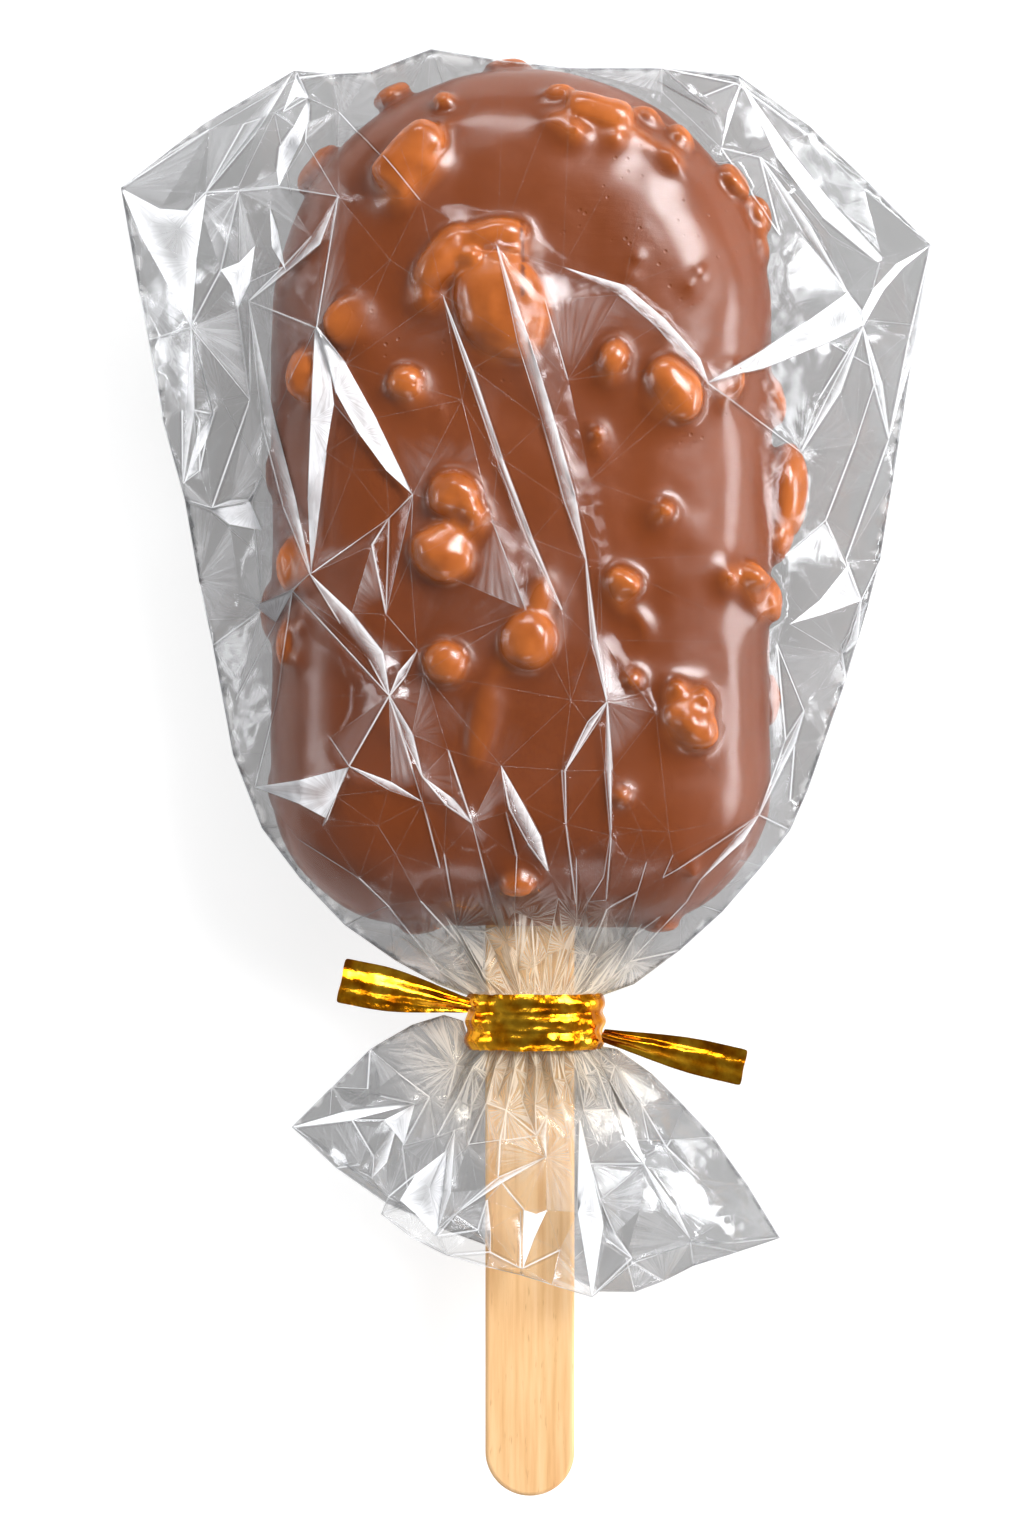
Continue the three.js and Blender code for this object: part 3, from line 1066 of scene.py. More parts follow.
def loose_spots(low, high, step, corners, facet_at, draw):
    """Points on an uneven triangular grid, clear of the creases."""
    spots = []
    y, row = low[1], 0
    while y < high[1]:
        x = low[0] + (row % 2) * step / 2
        while x < high[0]:
            spot = (x + draw.uniform(-0.15, 0.15) * step, y + draw.uniform(-0.15, 0.15) * step)
            facet = facet_at(*spot)
            if facet is not None and from_sides(corners[facet], np.array([spot])).min() > 0.4 * step:
                spots.append(spot)
            x += step
        y += step * math.sqrt(3) / 2
        row += 1
    return spots


def fine_film(sheet, step):
    """Turns a sheet's flat facets into fine mesh: fanned out from the stars, and laid over the coating."""
    points, triangles, drawn = sheet.facets()
    facets_of = sides_of(triangles)
    fold = fold_angles(points, triangles, facets_of)
    draw = random.Random(len(points))
    kept = kept_creases(points, facets_of, fold, drawn, draw)
    for crease in set(fold) - kept:
        fold[crease] = 0
    spots, steps, held = along_creases(points, facets_of, kept, step)
    finder = BVHTree.FromPolygons([(x, y, 0) for x, y, _ in points], triangles.tolist())

    def facet_at(x, y):
        return finder.ray_cast(Vector((x, y, 1)), Vector((0, 0, -1)))[2]

    corners = points[triangles][:, :, :2]
    spots += loose_spots(points.min(axis=0), points.max(axis=0), step, corners, facet_at, draw)
    verts, _, faces, origins, _, _ = delaunay_2d_cdt([Vector(spot) for spot in spots], steps, [], 0, 1e-5)
    flat = np.array([tuple(vert) for vert in verts])
    faces = np.array(faces)
    ring = [point / MM for point in sheet.border + sheet.border[:1]]
    rim = np.array([to_chain(x, y, ring) for x, y in flat])
    facets = [facet_at(*middle) for middle in flat[faces].mean(axis=1)]
    slivers = rim[faces].max(axis=1) < 0.01
    inside = [i for i, facet in enumerate(facets) if facet is not None and not slivers[i]]
    faces = faces[inside]
    facets = np.array([facets[i] for i in inside])
    home = np.zeros(len(flat), dtype=int)
    home[faces.ravel()] = np.repeat(facets, 3)

    slopes = np.array([plane_of(points[triangle]) for triangle in triangles])
    z = slopes[home, 0] * flat[:, 0] + slopes[home, 1] * flat[:, 1] + slopes[home, 2]
    z = soften(z, faces, np.array([not held.isdisjoint(origin) for origin in origins]))
    z += fans(points, triangles, home, flat, sheet.layer) * np.clip(rim / 1.5, 0, 1)
    z, gap = lay_over(sheet, flat, z, faces, rim)
    film = {
        "points": np.column_stack((flat, z)) * MM,
        "faces": faces,
        "folds": crease_distance(corners, triangles, fold, faces, facets, flat),
        "rays": ray_pattern(points, triangles, fold, faces, facets, flat),
        "gleam": gleam(sheet, flat, faces),
        "cling": 1 - np.clip((gap - 0.5) / 0.9, 0, 1),
        "back": np.full(len(flat), 0.0 if sheet.layer > 0 else 1.0),
        "sharp": sharp_edges(triangles, fold, faces, facets),
    }
    if sheet.layer < 0:
        for name in ("faces", "folds", "rays", "gleam"):
            film[name] = film[name][:, ::-1]
    return film


def in_ring(ring, spots):
    """Which of the flat points lie inside a ring of flat points."""
    inside = np.zeros(len(spots), dtype=bool)
    for a, b in zip(ring, np.roll(ring, -1, axis=0)):
        crosses = (a[1] > spots[:, 1]) != (b[1] > spots[:, 1])
        rise = b[1] - a[1] if b[1] != a[1] else 1
        inside ^= crosses & (spots[:, 0] < a[0] + (spots[:, 1] - a[1]) * (b[0] - a[0]) / rise)
    return inside


def gleam(sheet, flat, faces):
    """For each face corner, how strong the painted highlight is: along a patch's outline and on one side of a
    band.
    """
    result = np.zeros((len(faces), 3))
    middles = flat[faces].mean(axis=1)
    for outline, sides in sheet.painted_glints:
        outline = outline + outline[:1]
        ring = np.array([point[:2] for point in outline]) / MM
        for face in np.nonzero(in_ring(ring, middles))[0]:
            for corner in range(3):
                x, y = flat[faces[face, corner]] * MM
                if sides:
                    to_near, to_far = to_chain(x, y, sides[0]), to_chain(x, y, sides[1])
                    result[face, corner] = (to_far / (to_near + to_far + 1e-9)) ** 1.5
                else:
                    result[face, corner] = 1 - 0.7 * smooth_step(0.1 * MM, 2.2 * MM, to_chain(x, y, outline))
    return result


def is_taut(point):
    """Whether a point, in millimetres, is where the film lies smooth on the bar's face."""
    x, y = point[:2] * MM
    return to_bar(x, y) < -4 * MM and x > seen(TAUT_FROM, 0).x


def from_sides(corners, spots):
    """Distances of flat points from the lines through a triangle's three sides."""
    result = []
    for k in range(3):
        a, b = corners[k], corners[(k + 1) % 3]
        way = (b - a) / max(np.linalg.norm(b - a), 1e-9)
        result.append(np.abs((spots[:, 0] - a[0]) * way[1] - (spots[:, 1] - a[1]) * way[0]))
    return np.array(result).T


def plane_of(corners):
    matrix = np.column_stack((corners[:, :2], np.ones(3)))
    return np.linalg.lstsq(matrix, corners[:, 2], rcond=None)[0]


def fans(points, triangles, home, flat, layer):
    """Heights that make each facet a fan of shallow folds from its corners, as stiff film creases."""
    draw = np.random.default_rng(5 if layer > 0 else 6)
    phases = draw.uniform(0, 2 * math.pi, (len(points), len(FAN_FOLDS)))
    total = np.zeros(len(flat))
    weight = np.zeros(len(flat))
    for k in range(3):
        tip = triangles[home][:, k]
        away = flat - points[tip][:, :2]
        reach = np.hypot(away[:, 0], away[:, 1])
        angle = np.arctan2(away[:, 1], away[:, 0])
        fan = sum(
            tilt / folds * np.sin(folds * angle + phases[tip, n]) for n, (folds, tilt) in enumerate(FAN_FOLDS)
        )
        share = near_share(points, triangles, home, flat, k) ** 2
        total += share * reach * fan
        weight += share
    return total / np.maximum(weight, 1e-9)


def near_share(points, triangles, home, flat, k):
    """How near each point is to corner k of its facet: 1 at the corner and 0 on the far side."""
    tri = points[triangles[home]][:, :, :2]
    a, b, c = tri[:, k], tri[:, (k + 1) % 3], tri[:, (k + 2) % 3]

    def area(p, q, r):
        return (q[:, 0] - p[:, 0]) * (r[:, 1] - p[:, 1]) - (q[:, 1] - p[:, 1]) * (r[:, 0] - p[:, 0])

    return np.clip(area(flat, b, c) / area(a, b, c), 0, 1)


def lay_over(sheet, flat, z, faces, rim):
    """Lifts the film clear of the coating and evens it out round the nuts. Gives its heights and its gaps."""
    up = sheet.layer
    need = np.full(len(flat), -1e3)
    for i, (x, y) in enumerate(flat * MM):
        under = sheet.surface(x, y)
        if under is not None:
            need[i] = (up * under + CLEARANCE) / MM
    pairs, count = neighbours(faces, len(flat))
    raised = need > up * z
    height = np.maximum(up * z, need)
    for _ in range(3):
        spread = raised.copy()
        np.logical_or.at(spread, pairs[:, 0], raised[pairs[:, 1]])
        np.logical_or.at(spread, pairs[:, 1], raised[pairs[:, 0]])
        raised = spread
    free = raised & (rim > 1.0)
    for _ in range(14):
        even = neighbour_total(pairs, height) / count
        height[free] = np.maximum(need, 0.4 * height + 0.6 * even)[free]
    z = np.maximum(up * height, FLOOR_GAP / MM)
    return z, np.where(need > -100, up * z - need + CLEARANCE / MM, 10.0)


def fold_angles(points, triangles, facets_of):
    """How sharply each crease is folded, in degrees."""
    tri = points[triangles]
    normals = np.cross(tri[:, 1] - tri[:, 0], tri[:, 2] - tri[:, 0])
    normals /= np.linalg.norm(normals, axis=1)[:, None]
    angles = {}
    for crease, sides in facets_of.items():
        cosine = float(np.dot(normals[sides[0]], normals[sides[-1]])) if len(sides) == 2 else 0.5
        angles[crease] = math.degrees(math.acos(min(1, max(-1, cosine))))
    return angles


def crease_distance(corners, triangles, fold, faces, facets, flat):
    """For each face corner, its distance from its facet's three creases, longer where a crease is faint."""
    tri = corners[facets]
    result = np.zeros((len(faces), 3, 3))
    for k in range(3):
        a, b = tri[:, k], tri[:, (k + 1) % 3]
        way = b - a
        way /= np.maximum(np.hypot(way[:, 0], way[:, 1]), 1e-9)[:, None]
        names = [(min(p, q), max(p, q)) for p, q in triangles[:, [k, (k + 1) % 3]]]
        strength = np.array([smooth_step(5, 38, fold[name]) for name in names])[facets]
        for corner in range(3):
            spot = flat[faces[:, corner]]
            distance = np.abs((spot[:, 0] - a[:, 0]) * way[:, 1] - (spot[:, 1] - a[:, 1]) * way[:, 0])
            result[:, corner, k] = distance / np.maximum(strength, 0.05)
    return result


def ray_pattern(points, triangles, fold, faces, facets, flat):
    """For each face corner: its angle round its facet's sharpest corner, its distance, and a number."""
    sharpness = np.zeros(len(points))
    for (a, b), angle in fold.items():
        sharpness[a] += angle
        sharpness[b] += angle
    tips = triangles[np.arange(len(triangles)), sharpness[triangles].argmax(axis=1)]
    away = points[triangles][:, :, :2].mean(axis=1) - points[tips][:, :2]
    middle = np.arctan2(away[:, 1], away[:, 0])[facets]
    tip = points[tips][facets][:, :2]
    result = np.zeros((len(faces), 3, 3))
    for corner in range(3):
        off = flat[faces[:, corner]] - tip
        turn = np.arctan2(off[:, 1], off[:, 0]) - middle
        turn = (turn + math.pi) % (2 * math.pi) - math.pi
        result[:, corner, 0] = turn * RAYS_PER_RADIAN
        result[:, corner, 1] = np.hypot(off[:, 0], off[:, 1]) / 7
        result[:, corner, 2] = facets * 3.7
    return result


def sharp_edges(triangles, fold, faces, facets):
    """The small edges that lie on a crease which is folded enough to look sharp."""
    owner = {}
    sharp = []
    for face, facet in zip(faces, facets):
        for a, b in ((face[0], face[1]), (face[1], face[2]), (face[2], face[0])):
            key = (min(a, b), max(a, b))
            other = owner.setdefault(key, facet)
            if other == facet:
                continue
            shared = sorted(set(triangles[facet]) & set(triangles[other]))
            if len(shared) == 2 and fold.get(tuple(shared), 0) > 7:
                sharp.append(key)
    return sharp


def neck_tube():
    """The pressed film under the tie, between the body's last row of folds and the skirt's first."""
    points = []
    faces = []
    for py in (NECK_TOP, (NECK_TOP + NECK_FOOT) / 2, NECK_FOOT):
        points += [neck_point(i, 1, py) for i in range(PLEATS + 1)]
        points += [neck_point(i, -1, py) for i in range(PLEATS - 1, 0, -1)]
    count = 2 * PLEATS
    for row in range(2):
        for i in range(count):
            a = row * count + i
            b = row * count + (i + 1) % count
            faces += [(a, a + count, b), (b, a + count, b + count)]
    far = np.full((len(faces), 3, 3), 9.0)
    plain = np.zeros(len(points))
    return {
        "points": points,
        "faces": faces,
        "folds": far,
        "rays": far,
        "cling": plain,
        "back": plain,
        "gleam": np.zeros((len(faces), 3)),
        "sharp": [],
    }


def film_bag(bar):
    """The whole bag: five layers joined into one skin, with what its material needs stored on it."""
    roof = tree_of(bar)
    sheets = [upper_body(roof), lower_body(roof), neck_tube()]
    sheets += [skirt_layer(UPPER_HEM, 1), skirt_layer(LOWER_HEM, -1)]
    points, faces, sharp = [], [], set()
    for sheet in sheets:
        start = len(points)
        points += [tuple(point) for point in sheet["points"]]
        faces += [tuple(int(start + i) for i in face) for face in sheet["faces"]]
        sharp |= {(int(start + a), int(start + b)) for a, b in sheet["sharp"]}
    mesh = bpy.data.meshes.new("film_bag")
    mesh.from_pydata(points, [], faces)
    film = bpy.data.objects.new("film_bag", mesh)
    bpy.context.scene.collection.objects.link(film)
    stored = {"folds": "CORNER", "rays": "CORNER", "cling": "POINT", "back": "POINT", "gleam": "CORNER"}
    for name, domain in stored.items():
        kind, field = ("FLOAT_VECTOR", "vector") if name in ("folds", "rays") else ("FLOAT", "value")
        values = np.concatenate([sheet[name].ravel() for sheet in sheets])
        mesh.attributes.new(name, kind, domain).data.foreach_set(field, values)
    for edge in mesh.edges:
        edge.use_edge_sharp = (min(edge.vertices), max(edge.vertices)) in sharp
    for polygon in mesh.polygons:
        polygon.use_smooth = True
    edit(film, "VERT", everything, bpy.ops.mesh.remove_doubles, threshold=0.01 * MM)
    film.data.materials.append(film_face())
    film.data.materials.append(film_inside())
    modify(film, "SOLIDIFY", thickness=FILM, offset=0, material_offset=1)
    return film


# --- The tie --------------------------------------------------------------------------------------

TIE_CENTRE = (535, 1021)  # of the wound band, in pixels
BAND_TALL = 6.3 * MM
BAND_RIDGES = 3
FOIL = 0.12 * MM
BAND_HALF_WIDE = 7.35 * MM
BAND_HALF_DEEP = 4.5 * MM
RIDGE_SCALES = (1.055, 1.085, 1.055)  # over each ridge of the band
TAIL_STEPS = 30
# The ribbon's free ends: where each leaves the band and where it stops, in pixels with the height in
# millimetres, and its width there in millimetres.
TAILS = {
    "left": ((470, 1006, 15.4), (340, 980, 19.4), 5.2),
    "right": ((602, 1035, 15.2), (745, 1068, 19.0), 4.2),
}


def crumple(piece, offset, normal, evened, seed):
    """Crumples ribbon: shifts its points, mostly along their normals, and evens them out a little."""
    select(piece, "VERT", everything)
    bpy.ops.transform.vertex_random(offset=offset, uniform=1 - normal, normal=normal, seed=seed)
    bpy.ops.mesh.vertices_smooth(factor=evened, repeat=1)
    finish_editing()


def tie_band():
    """The wound ribbon: an open ring with a ridge for each turn, pressed and crumpled by hand."""
    centre = seen(*TIE_CENTRE, MID)
    resize = bpy.ops.transform.resize
    deselect()
    bpy.ops.mesh.primitive_cylinder_add(
        vertices=88,
        radius=1,
        depth=BAND_TALL,
        end_fill_type="NOTHING",
        location=centre,
        rotation=(math.pi / 2, 0, 0),
    )
    band = named("foil_band")
    settle(band)
    edit(band, "VERT", everything, resize, value=(BAND_HALF_WIDE, 1, BAND_HALF_DEEP), center_override=centre)

    def upright(edge):
        return abs(edge.verts[0].co.y - edge.verts[1].co.y) > BAND_TALL / 2

    edit(band, "EDGE", upright, bpy.ops.mesh.subdivide, number_cuts=4 * BAND_RIDGES - 1)

    def ring(row):
        y = centre.y + BAND_TALL * (row / (4 * BAND_RIDGES) - 0.5)
        return lambda vert: abs(vert.co.y - y) < 0.02 * MM

    for turn in range(BAND_RIDGES):
        for row, scale in enumerate(RIDGE_SCALES, 4 * turn + 1):
            size = (scale, 1, 1 + 1.6 * (scale - 1))
            edit(band, "VERT", ring(row), resize, value=size, center_override=centre)
    crumple(band, 0.16 * MM, 0.7, 0.3, 4)
    return band


def tie_tail(name, start, end, width, seed):
    """A free end of the ribbon: a strip pinched at the band, folded along its wire, and a little crumpled."""
    base = seen(start[0], start[1], start[2] * MM)
    tip = seen(end[0], end[1], end[2] * MM)
    way = tip - base
    deselect()
    bpy.ops.mesh.primitive_grid_add(
        x_subdivisions=TAIL_STEPS,
        y_subdivisions=10,
        size=1,
        location=(0.5, 0, 0),
    )
    tail = named(name)
    settle(tail)
    resize, move = bpy.ops.transform.resize, bpy.ops.transform.translate

    def column(low=-1, high=math.inf):
        """Tests for the points at t between these distances from the wire, as shares of the width."""
        return lambda vert: abs(vert.co.x - t) < 0.01 and low * wide < abs(vert.co.y) < high * wide

    for step in range(TAIL_STEPS + 1):
        t = step / TAIL_STEPS
        wide = (1.0 + (width - 1.0) * smooth_step(-0.25, 0.75, t)) * MM
        fold = (0.75 - 0.45 * t) * MM
        edit(tail, "VERT", column(), resize, value=(1, wide, 1), center_override=(t, 0, 0))
        edit(tail, "VERT", column(high=0.12), move, value=(0, 0, fold))
        edit(tail, "VERT", column(0.25, 0.35), move, value=(0, 0, -0.3 * fold))
    side = Vector((-way.y, way.x, 0)).normalized()
    up = way.cross(side).normalized()
    if up.z < 0:
        side, up = -side, -up
    turned = Matrix((way, side, up)).transposed().to_4x4()
    turned.translation = base
    tail.data.transform(turned)
    crumple(tail, 0.09 * MM, 0.8, 0.5, seed)
    edit(tail, "VERT", everything, bpy.ops.mesh.normals_make_consistent, inside=False)
    return tail


def twist_tie():
    tails = [tie_tail("tail_" + side, *TAILS[side], seed=i + 1) for i, side in enumerate(TAILS)]
    tie = join([tie_band()] + tails)
    tie.name = tie.data.name = "foil_tie"
    modify(tie, "SUBSURF", levels=1, render_levels=1)
    modify(tie, "SOLIDIFY", thickness=FOIL, offset=0)
    make_active(tie)
    bpy.ops.object.shade_smooth_by_angle(angle=math.radians(35))
    return tie


# --- Materials ------------------------------------------------------------------------------------


def srgb(red, green, blue):
    """A colour given as a screen shows it, from 0 to 255, as the shader's own values."""
    parts = (channel / 255 for channel in (red, green, blue))
    return tuple(c / 12.92 if c <= 0.04045 else ((c + 0.055) / 1.055) ** 2.4 for c in parts) + (1,)


class Nodes:
    """The node tree of a new material, lamp or world, with a call for each kind of node that is added."""

    def __init__(self, owner):
        owner.use_nodes = True
        owner.node_tree.nodes.clear()
        self.owner = owner
        self.tree = owner.node_tree

    def add(self, kind, inputs=None, **settings):
        node = self.tree.nodes.new(kind)
        for key, value in settings.items():
            setattr(node, key, value)
        for key, value in (inputs or {}).items():
            self.feed(node.inputs[key], value)
        return node

    def feed(self, socket, value):
        if isinstance(value, bpy.types.NodeSocket):
            self.tree.links.new(value, socket)
        else:
            socket.default_value = value

    def place(self, scale=(1, 1, 1)):
        """Object coordinates, stretched."""
        inputs = {"Vector": self.add("ShaderNodeTexCoord").outputs["Object"], "Scale": scale}
        return self.add("ShaderNodeMapping", inputs).outputs["Vector"]

    def noise(self, vector, scale, detail=4, roughness=0.5):
        inputs = {"Vector": vector, "Scale": scale, "Detail": detail, "Roughness": roughness}
        return self.add("ShaderNodeTexNoise", inputs).outputs["Fac"]

    def ramp(self, factor, stops):
        node = self.add("ShaderNodeValToRGB", {"Fac": factor})
        ramp = node.color_ramp
        while len(ramp.elements) < len(stops):
            ramp.elements.new(0.5)
        for element, (position, color) in zip(ramp.elements, stops):
            element.position = position
            element.color = color
        return node.outputs["Color"]

    def span(self, value, low, high, to_low=0.0, to_high=1.0, **settings):
        inputs = {"Value": value, "From Min": low, "From Max": high, "To Min": to_low, "To Max": to_high}
        return self.add("ShaderNodeMapRange", inputs, **settings).outputs["Result"]

    def math(self, operation, a, b=0.0):
        return self.add("ShaderNodeMath", {0: a, 1: b}, operation=operation).outputs["Value"]

    def distance(self, vector, point):
        return self.add("ShaderNodeVectorMath", {0: vector, 1: point}, operation="DISTANCE").outputs["Value"]

    def split(self, vector):
        return self.add("ShaderNodeSeparateXYZ", {0: vector}).outputs

    def bump(self, height, strength, distance, normal=None):
        inputs = {"Height": height, "Strength": strength, "Distance": distance}
        if normal:
            inputs["Normal"] = normal
        return self.add("ShaderNodeBump", inputs).outputs["Normal"]

    def blend(self, factor, a, b, mode="MIX"):
        """Two colours mixed."""
        node = self.add("ShaderNodeMix", data_type="RGBA", blend_type=mode)
        for socket, value in ((0, factor), (6, a), (7, b)):
            self.feed(node.inputs[socket], value)
        return node.outputs[2]

    def mix(self, factor, a, b):
        """Two shaders mixed."""
        return self.add("ShaderNodeMixShader", {0: factor, 1: a, 2: b}).outputs["Shader"]

    def attribute(self, name, output="Fac"):
        return self.add("ShaderNodeAttribute", attribute_name=name).outputs[output]

    def shader(self, kind, **inputs):
        """A shader whose inputs are given by their names, with _ for a space."""
        inputs = {name.replace("_", " "): value for name, value in inputs.items()}
        return self.add("ShaderNode" + kind, inputs).outputs[0]

    def done(self, shader, kind="Material"):
        self.add("ShaderNodeOutput" + kind, {"Surface": shader})
        return self.owner


def material(name):
    return Nodes(bpy.data.materials.new(name))


def chocolate():
    """Milk chocolate coating: satin, paler on the nuts, with pits and fine brushed ripples."""
    n = material("chocolate")
    place = n.place()
    coat = n.ramp(n.noise(place, 45, 3), [(0.3, srgb(112, 51, 12)), (0.7, srgb(126, 59, 16))])
    nut_coat = n.ramp(n.noise(place, 260, 4), [(0.3, srgb(160, 82, 29)), (0.7, srgb(190, 104, 45))])
    proud = n.attribute("proud")
    color = n.blend(n.span(proud, 0.25, 0.95), coat, nut_coat)
    bubbles = n.add("ShaderNodeTexVoronoi", {"Vector": place, "Scale": 620.0}, feature="F1")
    near_shoulder = n.span(n.distance(place, seen(*SHOULDER, FACE)), 5 * MM, 15 * MM, 1, 0)
    near_pits = n.math("MAXIMUM", near_shoulder, n.span(n.noise(place, 38, 2), 0.62, 0.74))
    pits = n.math("MULTIPLY", n.span(bubbles.outputs["Distance"], 0.16, 0.05), near_pits)
    ripples = n.noise(n.place((1, 3.2, 1)), 420, 3, 0.6)
    normal = n.bump(pits, 0.5, -0.12 * MM)
    normal = n.bump(ripples, n.span(near_shoulder, 0, 1, 0.12, 0.4), 0.06 * MM, normal)
    roughness = n.span(n.noise(place, 90, 3), 0.3, 0.7, 0.3, 0.4)
    roughness = n.math("ADD", roughness, n.span(proud, 0.25, 0.95, 0.0, -0.12))
    roughness = n.math("ADD", roughness, n.math("MULTIPLY", near_shoulder, 0.04))
    return n.done(n.shader("BsdfPrincipled", Base_Color=color, Roughness=roughness, Normal=normal))


def film_sheen(n, nearest, streaks, cling, near_tie):
    """Film that is see-through when it faces the eye and a mirror at a slant, with painted shade in its tint.
    """
    rounded = n.span(nearest, 0, 0.3)
    height = n.math("ADD", n.math("MULTIPLY", streaks, 0.45), n.math("MULTIPLY", rounded, 0.6))
    facing = n.add("ShaderNodeLayerWeight", {"Blend": 0.5}).outputs["Facing"]
    shine = n.span(n.math("POWER", facing, 5.0), 0, 1, 0.042, 0.9)
    shine = n.math("MULTIPLY", shine, n.span(cling, 0, 1, 1.0, 0.15))
    # Painted shade: the lower layer is tinted dark grey so the film reads grey over the white floor; the
    # upper layer only faintly.
    tint_and_painted_shade = n.blend(n.attribute("back"), (0.94, 0.94, 0.94, 1), (0.4, 0.4, 0.4, 1))
    # Painted shade: the film is tinted darker in a thin line beside each crease.
    shade = n.math("MULTIPLY", n.span(nearest, 0.1, 0.2), n.span(nearest, 0.42, 0.24))
    tint_and_painted_shade = n.blend(n.math("MULTIPLY", shade, 0.3), tint_and_painted_shade, (0.3, 0.3, 0.3, 1))
    # Near the tie the gloss is coloured gold: a painted reflection of the tie.
    gloss_with_painted_gold = n.blend(near_tie, (0.94, 0.96, 1, 1), (1, 0.8, 0.46, 1))
    gloss = n.shader("BsdfGlossy", Color=gloss_with_painted_gold, Roughness=0.12, Normal=n.bump(height, 0.6, 0.08 * MM))
    return n.mix(shine, n.shader("BsdfTransparent", Color=tint_and_painted_shade), gloss)


def film_whites_and_painted_light(n, place, nearest, rays, streaks, cling, near_tie):
    """How white the film is: painted highlights on bands, patches and random facets off the coating, creases
    partly whitened and partly painted highlight, and a painted reflection by the tie.
    """
    whites_and_painted_light = n.math("MULTIPLY", n.attribute("gleam"), n.span(streaks, 0.36, 0.62, 0.72, 1.0))
    # Creases are whitened: partly the whitening of creased film, partly a painted highlight.
    line = n.span(nearest, 0.03, 0.15, 1, 0)
    whites_and_painted_light = n.math("MAXIMUM", whites_and_painted_light, n.math("MULTIPLY", line, n.span(cling, 0, 1, 0.66, 0.3)))
    # Painted sheen: random facets off the coating are whitened, standing in for facets that catch the light.
    chance = n.add("ShaderNodeTexWhiteNoise", {"W": n.split(rays)["Z"]}, noise_dimensions="1D")
    painted_facet_sheen = n.span(chance.outputs["Value"], 0.5, 1.0, 0.0, 0.26)
    painted_facet_sheen = n.math("MULTIPLY", painted_facet_sheen, n.span(streaks, 0.35, 0.65, 0.3, 1.3))
    painted_facet_sheen = n.math("MULTIPLY", painted_facet_sheen, n.span(n.split(place)["X"], 12 * MM, 32 * MM, 1.0, 0.35))
    whites_and_painted_light = n.math("MAXIMUM", whites_and_painted_light, n.math("MULTIPLY", painted_facet_sheen, n.span(cling, 0.0, 0.5, 1.0, 0.0)))
    # Painted reflection of the gold tie: streaky warm whitening of the film near it.
    crumpled = n.math("MULTIPLY", near_tie, n.span(streaks, 0.42, 0.58, 0.06, 0.72))
    return n.math("MAXIMUM", whites_and_painted_light, crumpled)


def film_face():
    """Thin clear film, whitened at its creases, with painted highlights and a painted reflection of the gold
    tie near it.
    """
    n = material("film")
    place = n.add("ShaderNodeTexCoord").outputs["Object"]
    # How near the gold tie is, which drives the painted reflection of the tie on the film.
    near_tie = n.span(n.distance(place, seen(*TIE_CENTRE)), 7 * MM, 19 * MM, 1, 0)
    sides = n.split(n.attribute("folds", "Vector"))
    nearest = n.math("MINIMUM", n.math("MINIMUM", sides["X"], sides["Y"]), sides["Z"])
    rays = n.attribute("rays", "Vector")
    streaks = n.noise(rays, 1, 2)
    cling = n.attribute("cling")
    sheen = film_sheen(n, nearest, streaks, cling, near_tie)
    whites_and_painted_light = film_whites_and_painted_light(n, place, nearest, rays, streaks, cling, near_tie)
    # The white is shaded as if it faced straight up, whatever the film's slope, so the painted highlights
    # stay evenly bright.
    upwards = n.add("ShaderNodeCombineXYZ", {"Z": 1.0}).outputs["Vector"]
    # The white is bluish, and warm near the tie as a painted reflection of the gold.
    white_and_painted_gold = n.blend(near_tie, (0.95, 0.96, 0.99, 1), (0.95, 0.8, 0.62, 1))
    return n.done(n.mix(whites_and_painted_light, sheen, n.shader("BsdfDiffuse", Color=white_and_painted_gold, Normal=upwards)))


def film_inside():
    """The film's inner side, which adds only a faint sheen."""
    n = material("film_inside")
    clear = n.shader("BsdfTransparent", Color=(0.99, 0.99, 0.99, 1))
    return n.done(n.mix(0.015, clear, n.shader("BsdfGlossy", Color=(0.94, 0.96, 1, 1), Roughness=0.15)))


def foil():
    """Gold-coloured foil: bright metal with fine lengthwise creases and small dents."""
    n = material("foil")
    place = n.place()
    stops = [(0.34, srgb(168, 92, 8)), (0.46, srgb(214, 134, 14)), (0.66, srgb(246, 184, 46))]
    color = n.ramp(n.noise(place, 420, 3), stops)
    dents = n.noise(place, 700, 3, 0.6)
    normal = n.bump(dents, 0.45, 0.2 * MM)
    normal = n.bump(n.noise(n.place((0.25, 1.6, 1)), 900, 3), 0.3, 0.05 * MM, normal)
    roughness = n.span(dents, 0.3, 0.7, 0.12, 0.24)
    inputs = {"Base_Color": color, "Metallic": 1.0, "Roughness": roughness, "Normal": normal}
    return n.done(n.shader("BsdfPrincipled", **inputs))


def wood():
    """Plain birch: fine grain along the stick, short dark flecks, and a dry surface."""
    n = material("wood")
    grain = n.noise(n.place((1, 0.05, 1)), 1100, 5, 0.6)
    broad = n.noise(n.place((1, 0.1, 1)), 260, 3)
    stops = [(0.3, srgb(222, 172, 118)), (0.52, srgb(236, 193, 142)), (0.75, srgb(242, 206, 160))]
    tone = n.ramp(broad, [(0.3, srgb(243, 236, 226)), (0.7, srgb(255, 255, 255))])
    color = n.blend(0.8, n.ramp(grain, stops), tone, "MULTIPLY")
    flecks = n.span(n.noise(n.place((1, 0.14, 1)), 2600, 2), 0.66, 0.74)
    color = n.blend(n.math("MULTIPLY", flecks, 0.45), color, srgb(180, 126, 76))
    fibres = n.bump(grain, 0.35, 0.06 * MM)
    roughness = n.span(grain, 0.3, 0.7, 0.55, 0.7)
    inputs = {"Base_Color": color, "Roughness": roughness, "Normal": fibres, "Specular_IOR_Level": 0.3}
    return n.done(n.shader("BsdfPrincipled", **inputs))


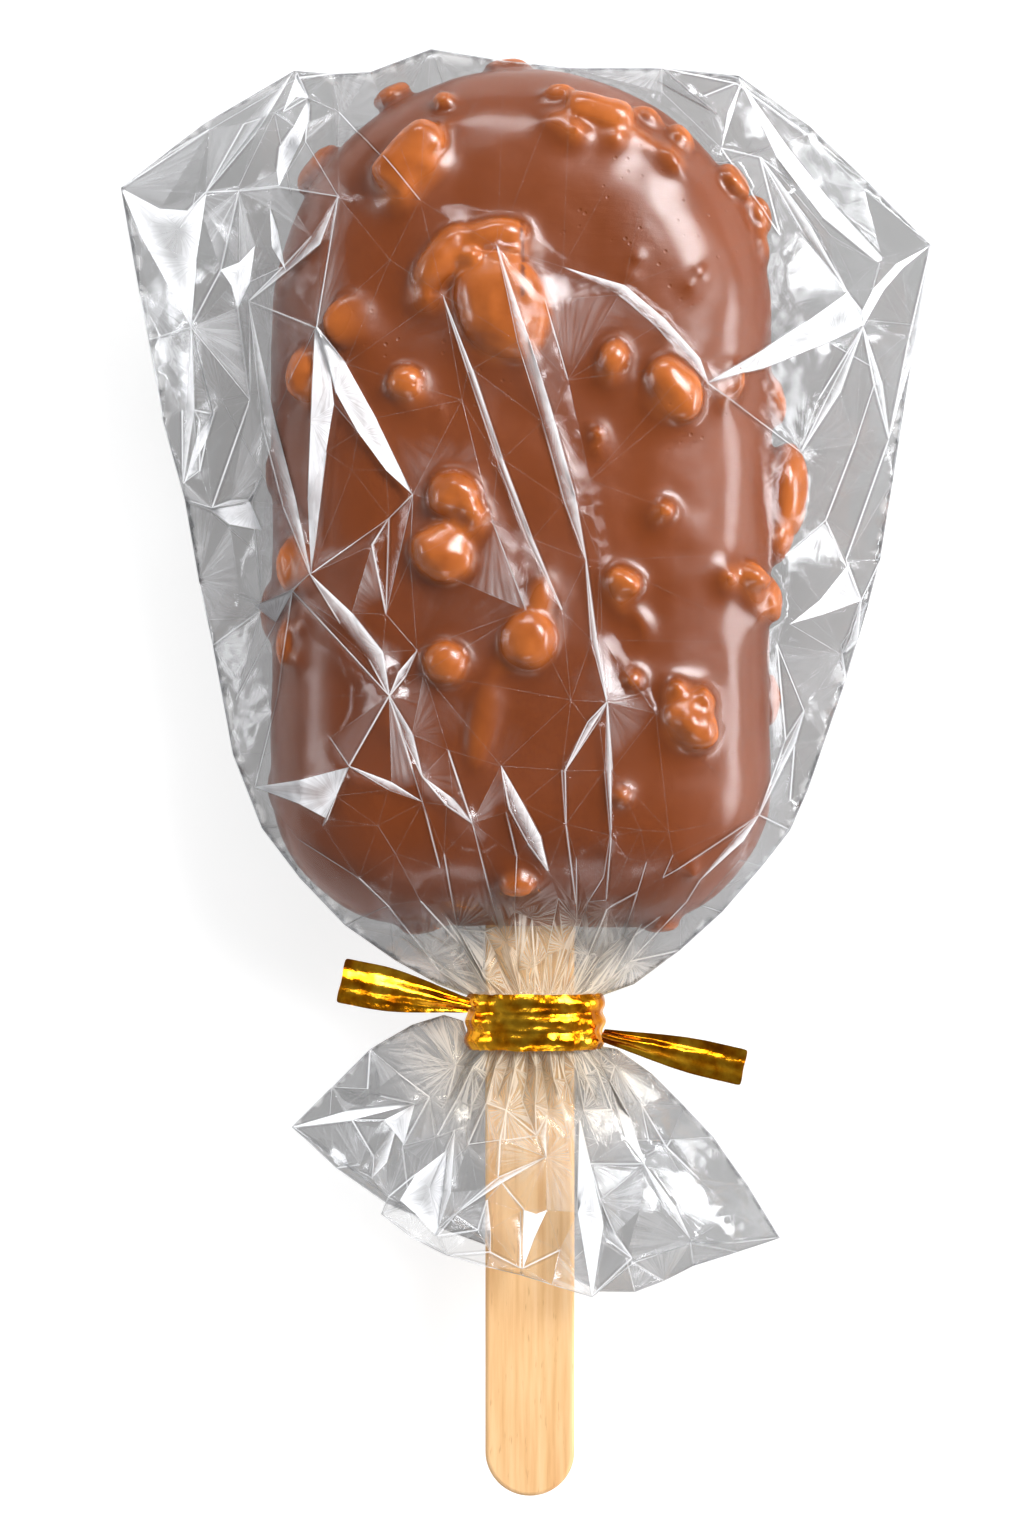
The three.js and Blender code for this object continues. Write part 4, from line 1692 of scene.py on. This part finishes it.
def floor_paint():
    """A white table that is lit a little from inside."""
    n = material("floor_paint")
    tone = n.ramp(n.noise(n.place(), 30, 2), [(0.4, (0.35, 0.35, 0.35, 1)), (0.6, (0.38, 0.38, 0.38, 1))])
    inputs = {"Base_Color": tone, "Roughness": 0.75, "Specular_IOR_Level": 0.2}
    inputs |= {"Emission_Color": (1, 1, 1, 1), "Emission_Strength": 0.77}
    n.owner.cycles.emission_sampling = "NONE"
    return n.done(n.shader("BsdfPrincipled", **inputs))


def finish_with(piece, material):
    piece.data.materials.clear()
    piece.data.materials.append(material)


# --- The pieces -----------------------------------------------------------------------------------

bar = coated_bar()
finish_with(bar, chocolate())
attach(bar, "root")
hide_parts("bag")

bag = film_bag(bar)
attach(bag, "root")
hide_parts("bag")

tie = twist_tie()
finish_with(tie, foil())
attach(tie, "root")
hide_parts("twist_tie")

finish_with(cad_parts["stick"], wood())

# --- The studio -----------------------------------------------------------------------------------


def studio_floor():
    deselect()
    bpy.ops.mesh.primitive_grid_add(x_subdivisions=8, y_subdivisions=8, size=3)
    floor = named("studio_floor")
    finish_with(floor, floor_paint())


def softbox(name):
    """A rectangular light that faces the object and fades towards its edges."""
    place, size, brightness = LIGHTS[name]
    light = bpy.data.lights.new(name, "AREA")
    light.shape = "RECTANGLE"
    light.size, light.size_y = size
    light.energy = brightness * math.pi * light.size * light.size_y
    n = Nodes(light)
    off_centre = n.distance(n.add("ShaderNodeNewGeometry").outputs["Parametric"], (0.5, 0.5, 0))
    fade = n.span(off_centre, 0.12, 0.5, 1.0, 0.0, interpolation_type="SMOOTHSTEP")
    n.done(n.shader("Emission", Strength=fade), "Light")
    lamp = bpy.data.objects.new(name, light)
    lamp.location = place
    lamp.rotation_euler = (AIM - place).to_track_quat("-Z", "Y").to_euler()
    bpy.context.scene.collection.objects.link(lamp)


def studio_air():
    """Grey surroundings, paler towards the horizon."""
    n = Nodes(bpy.data.worlds.new("studio_air"))
    upwards = n.split(n.add("ShaderNodeTexCoord").outputs["Generated"])["Z"]
    air = n.shader("Background", Color=(0.97, 0.98, 1, 1), Strength=n.span(upwards, 0, 1, 0.5, 0.16))
    bpy.context.scene.world = n.done(air, "World")


def studio():
    studio_floor()
    for name in LIGHTS:
        softbox(name)
    studio_air()


def camera():
    data = bpy.data.cameras.new("camera")
    data.sensor_fit = "VERTICAL"
    data.sensor_height = SENSOR
    data.lens = LENS
    data.clip_start = 0.01
    shot = bpy.data.objects.new("camera", data)
    shot.location = (CAMERA_X, CAMERA_Y, MID + CAMERA_DISTANCE)
    bpy.context.scene.collection.objects.link(shot)
    bpy.context.scene.camera = shot


studio()
camera()
bpy.context.scene.view_settings.view_transform = "Standard"
bpy.context.scene.cycles.use_light_tree = False
bpy.context.scene.cycles.transparent_max_bounces = 40
bpy.context.scene.cycles.max_bounces = 6
bpy.context.scene.cycles.diffuse_bounces = 3
bpy.context.scene.cycles.glossy_bounces = 3
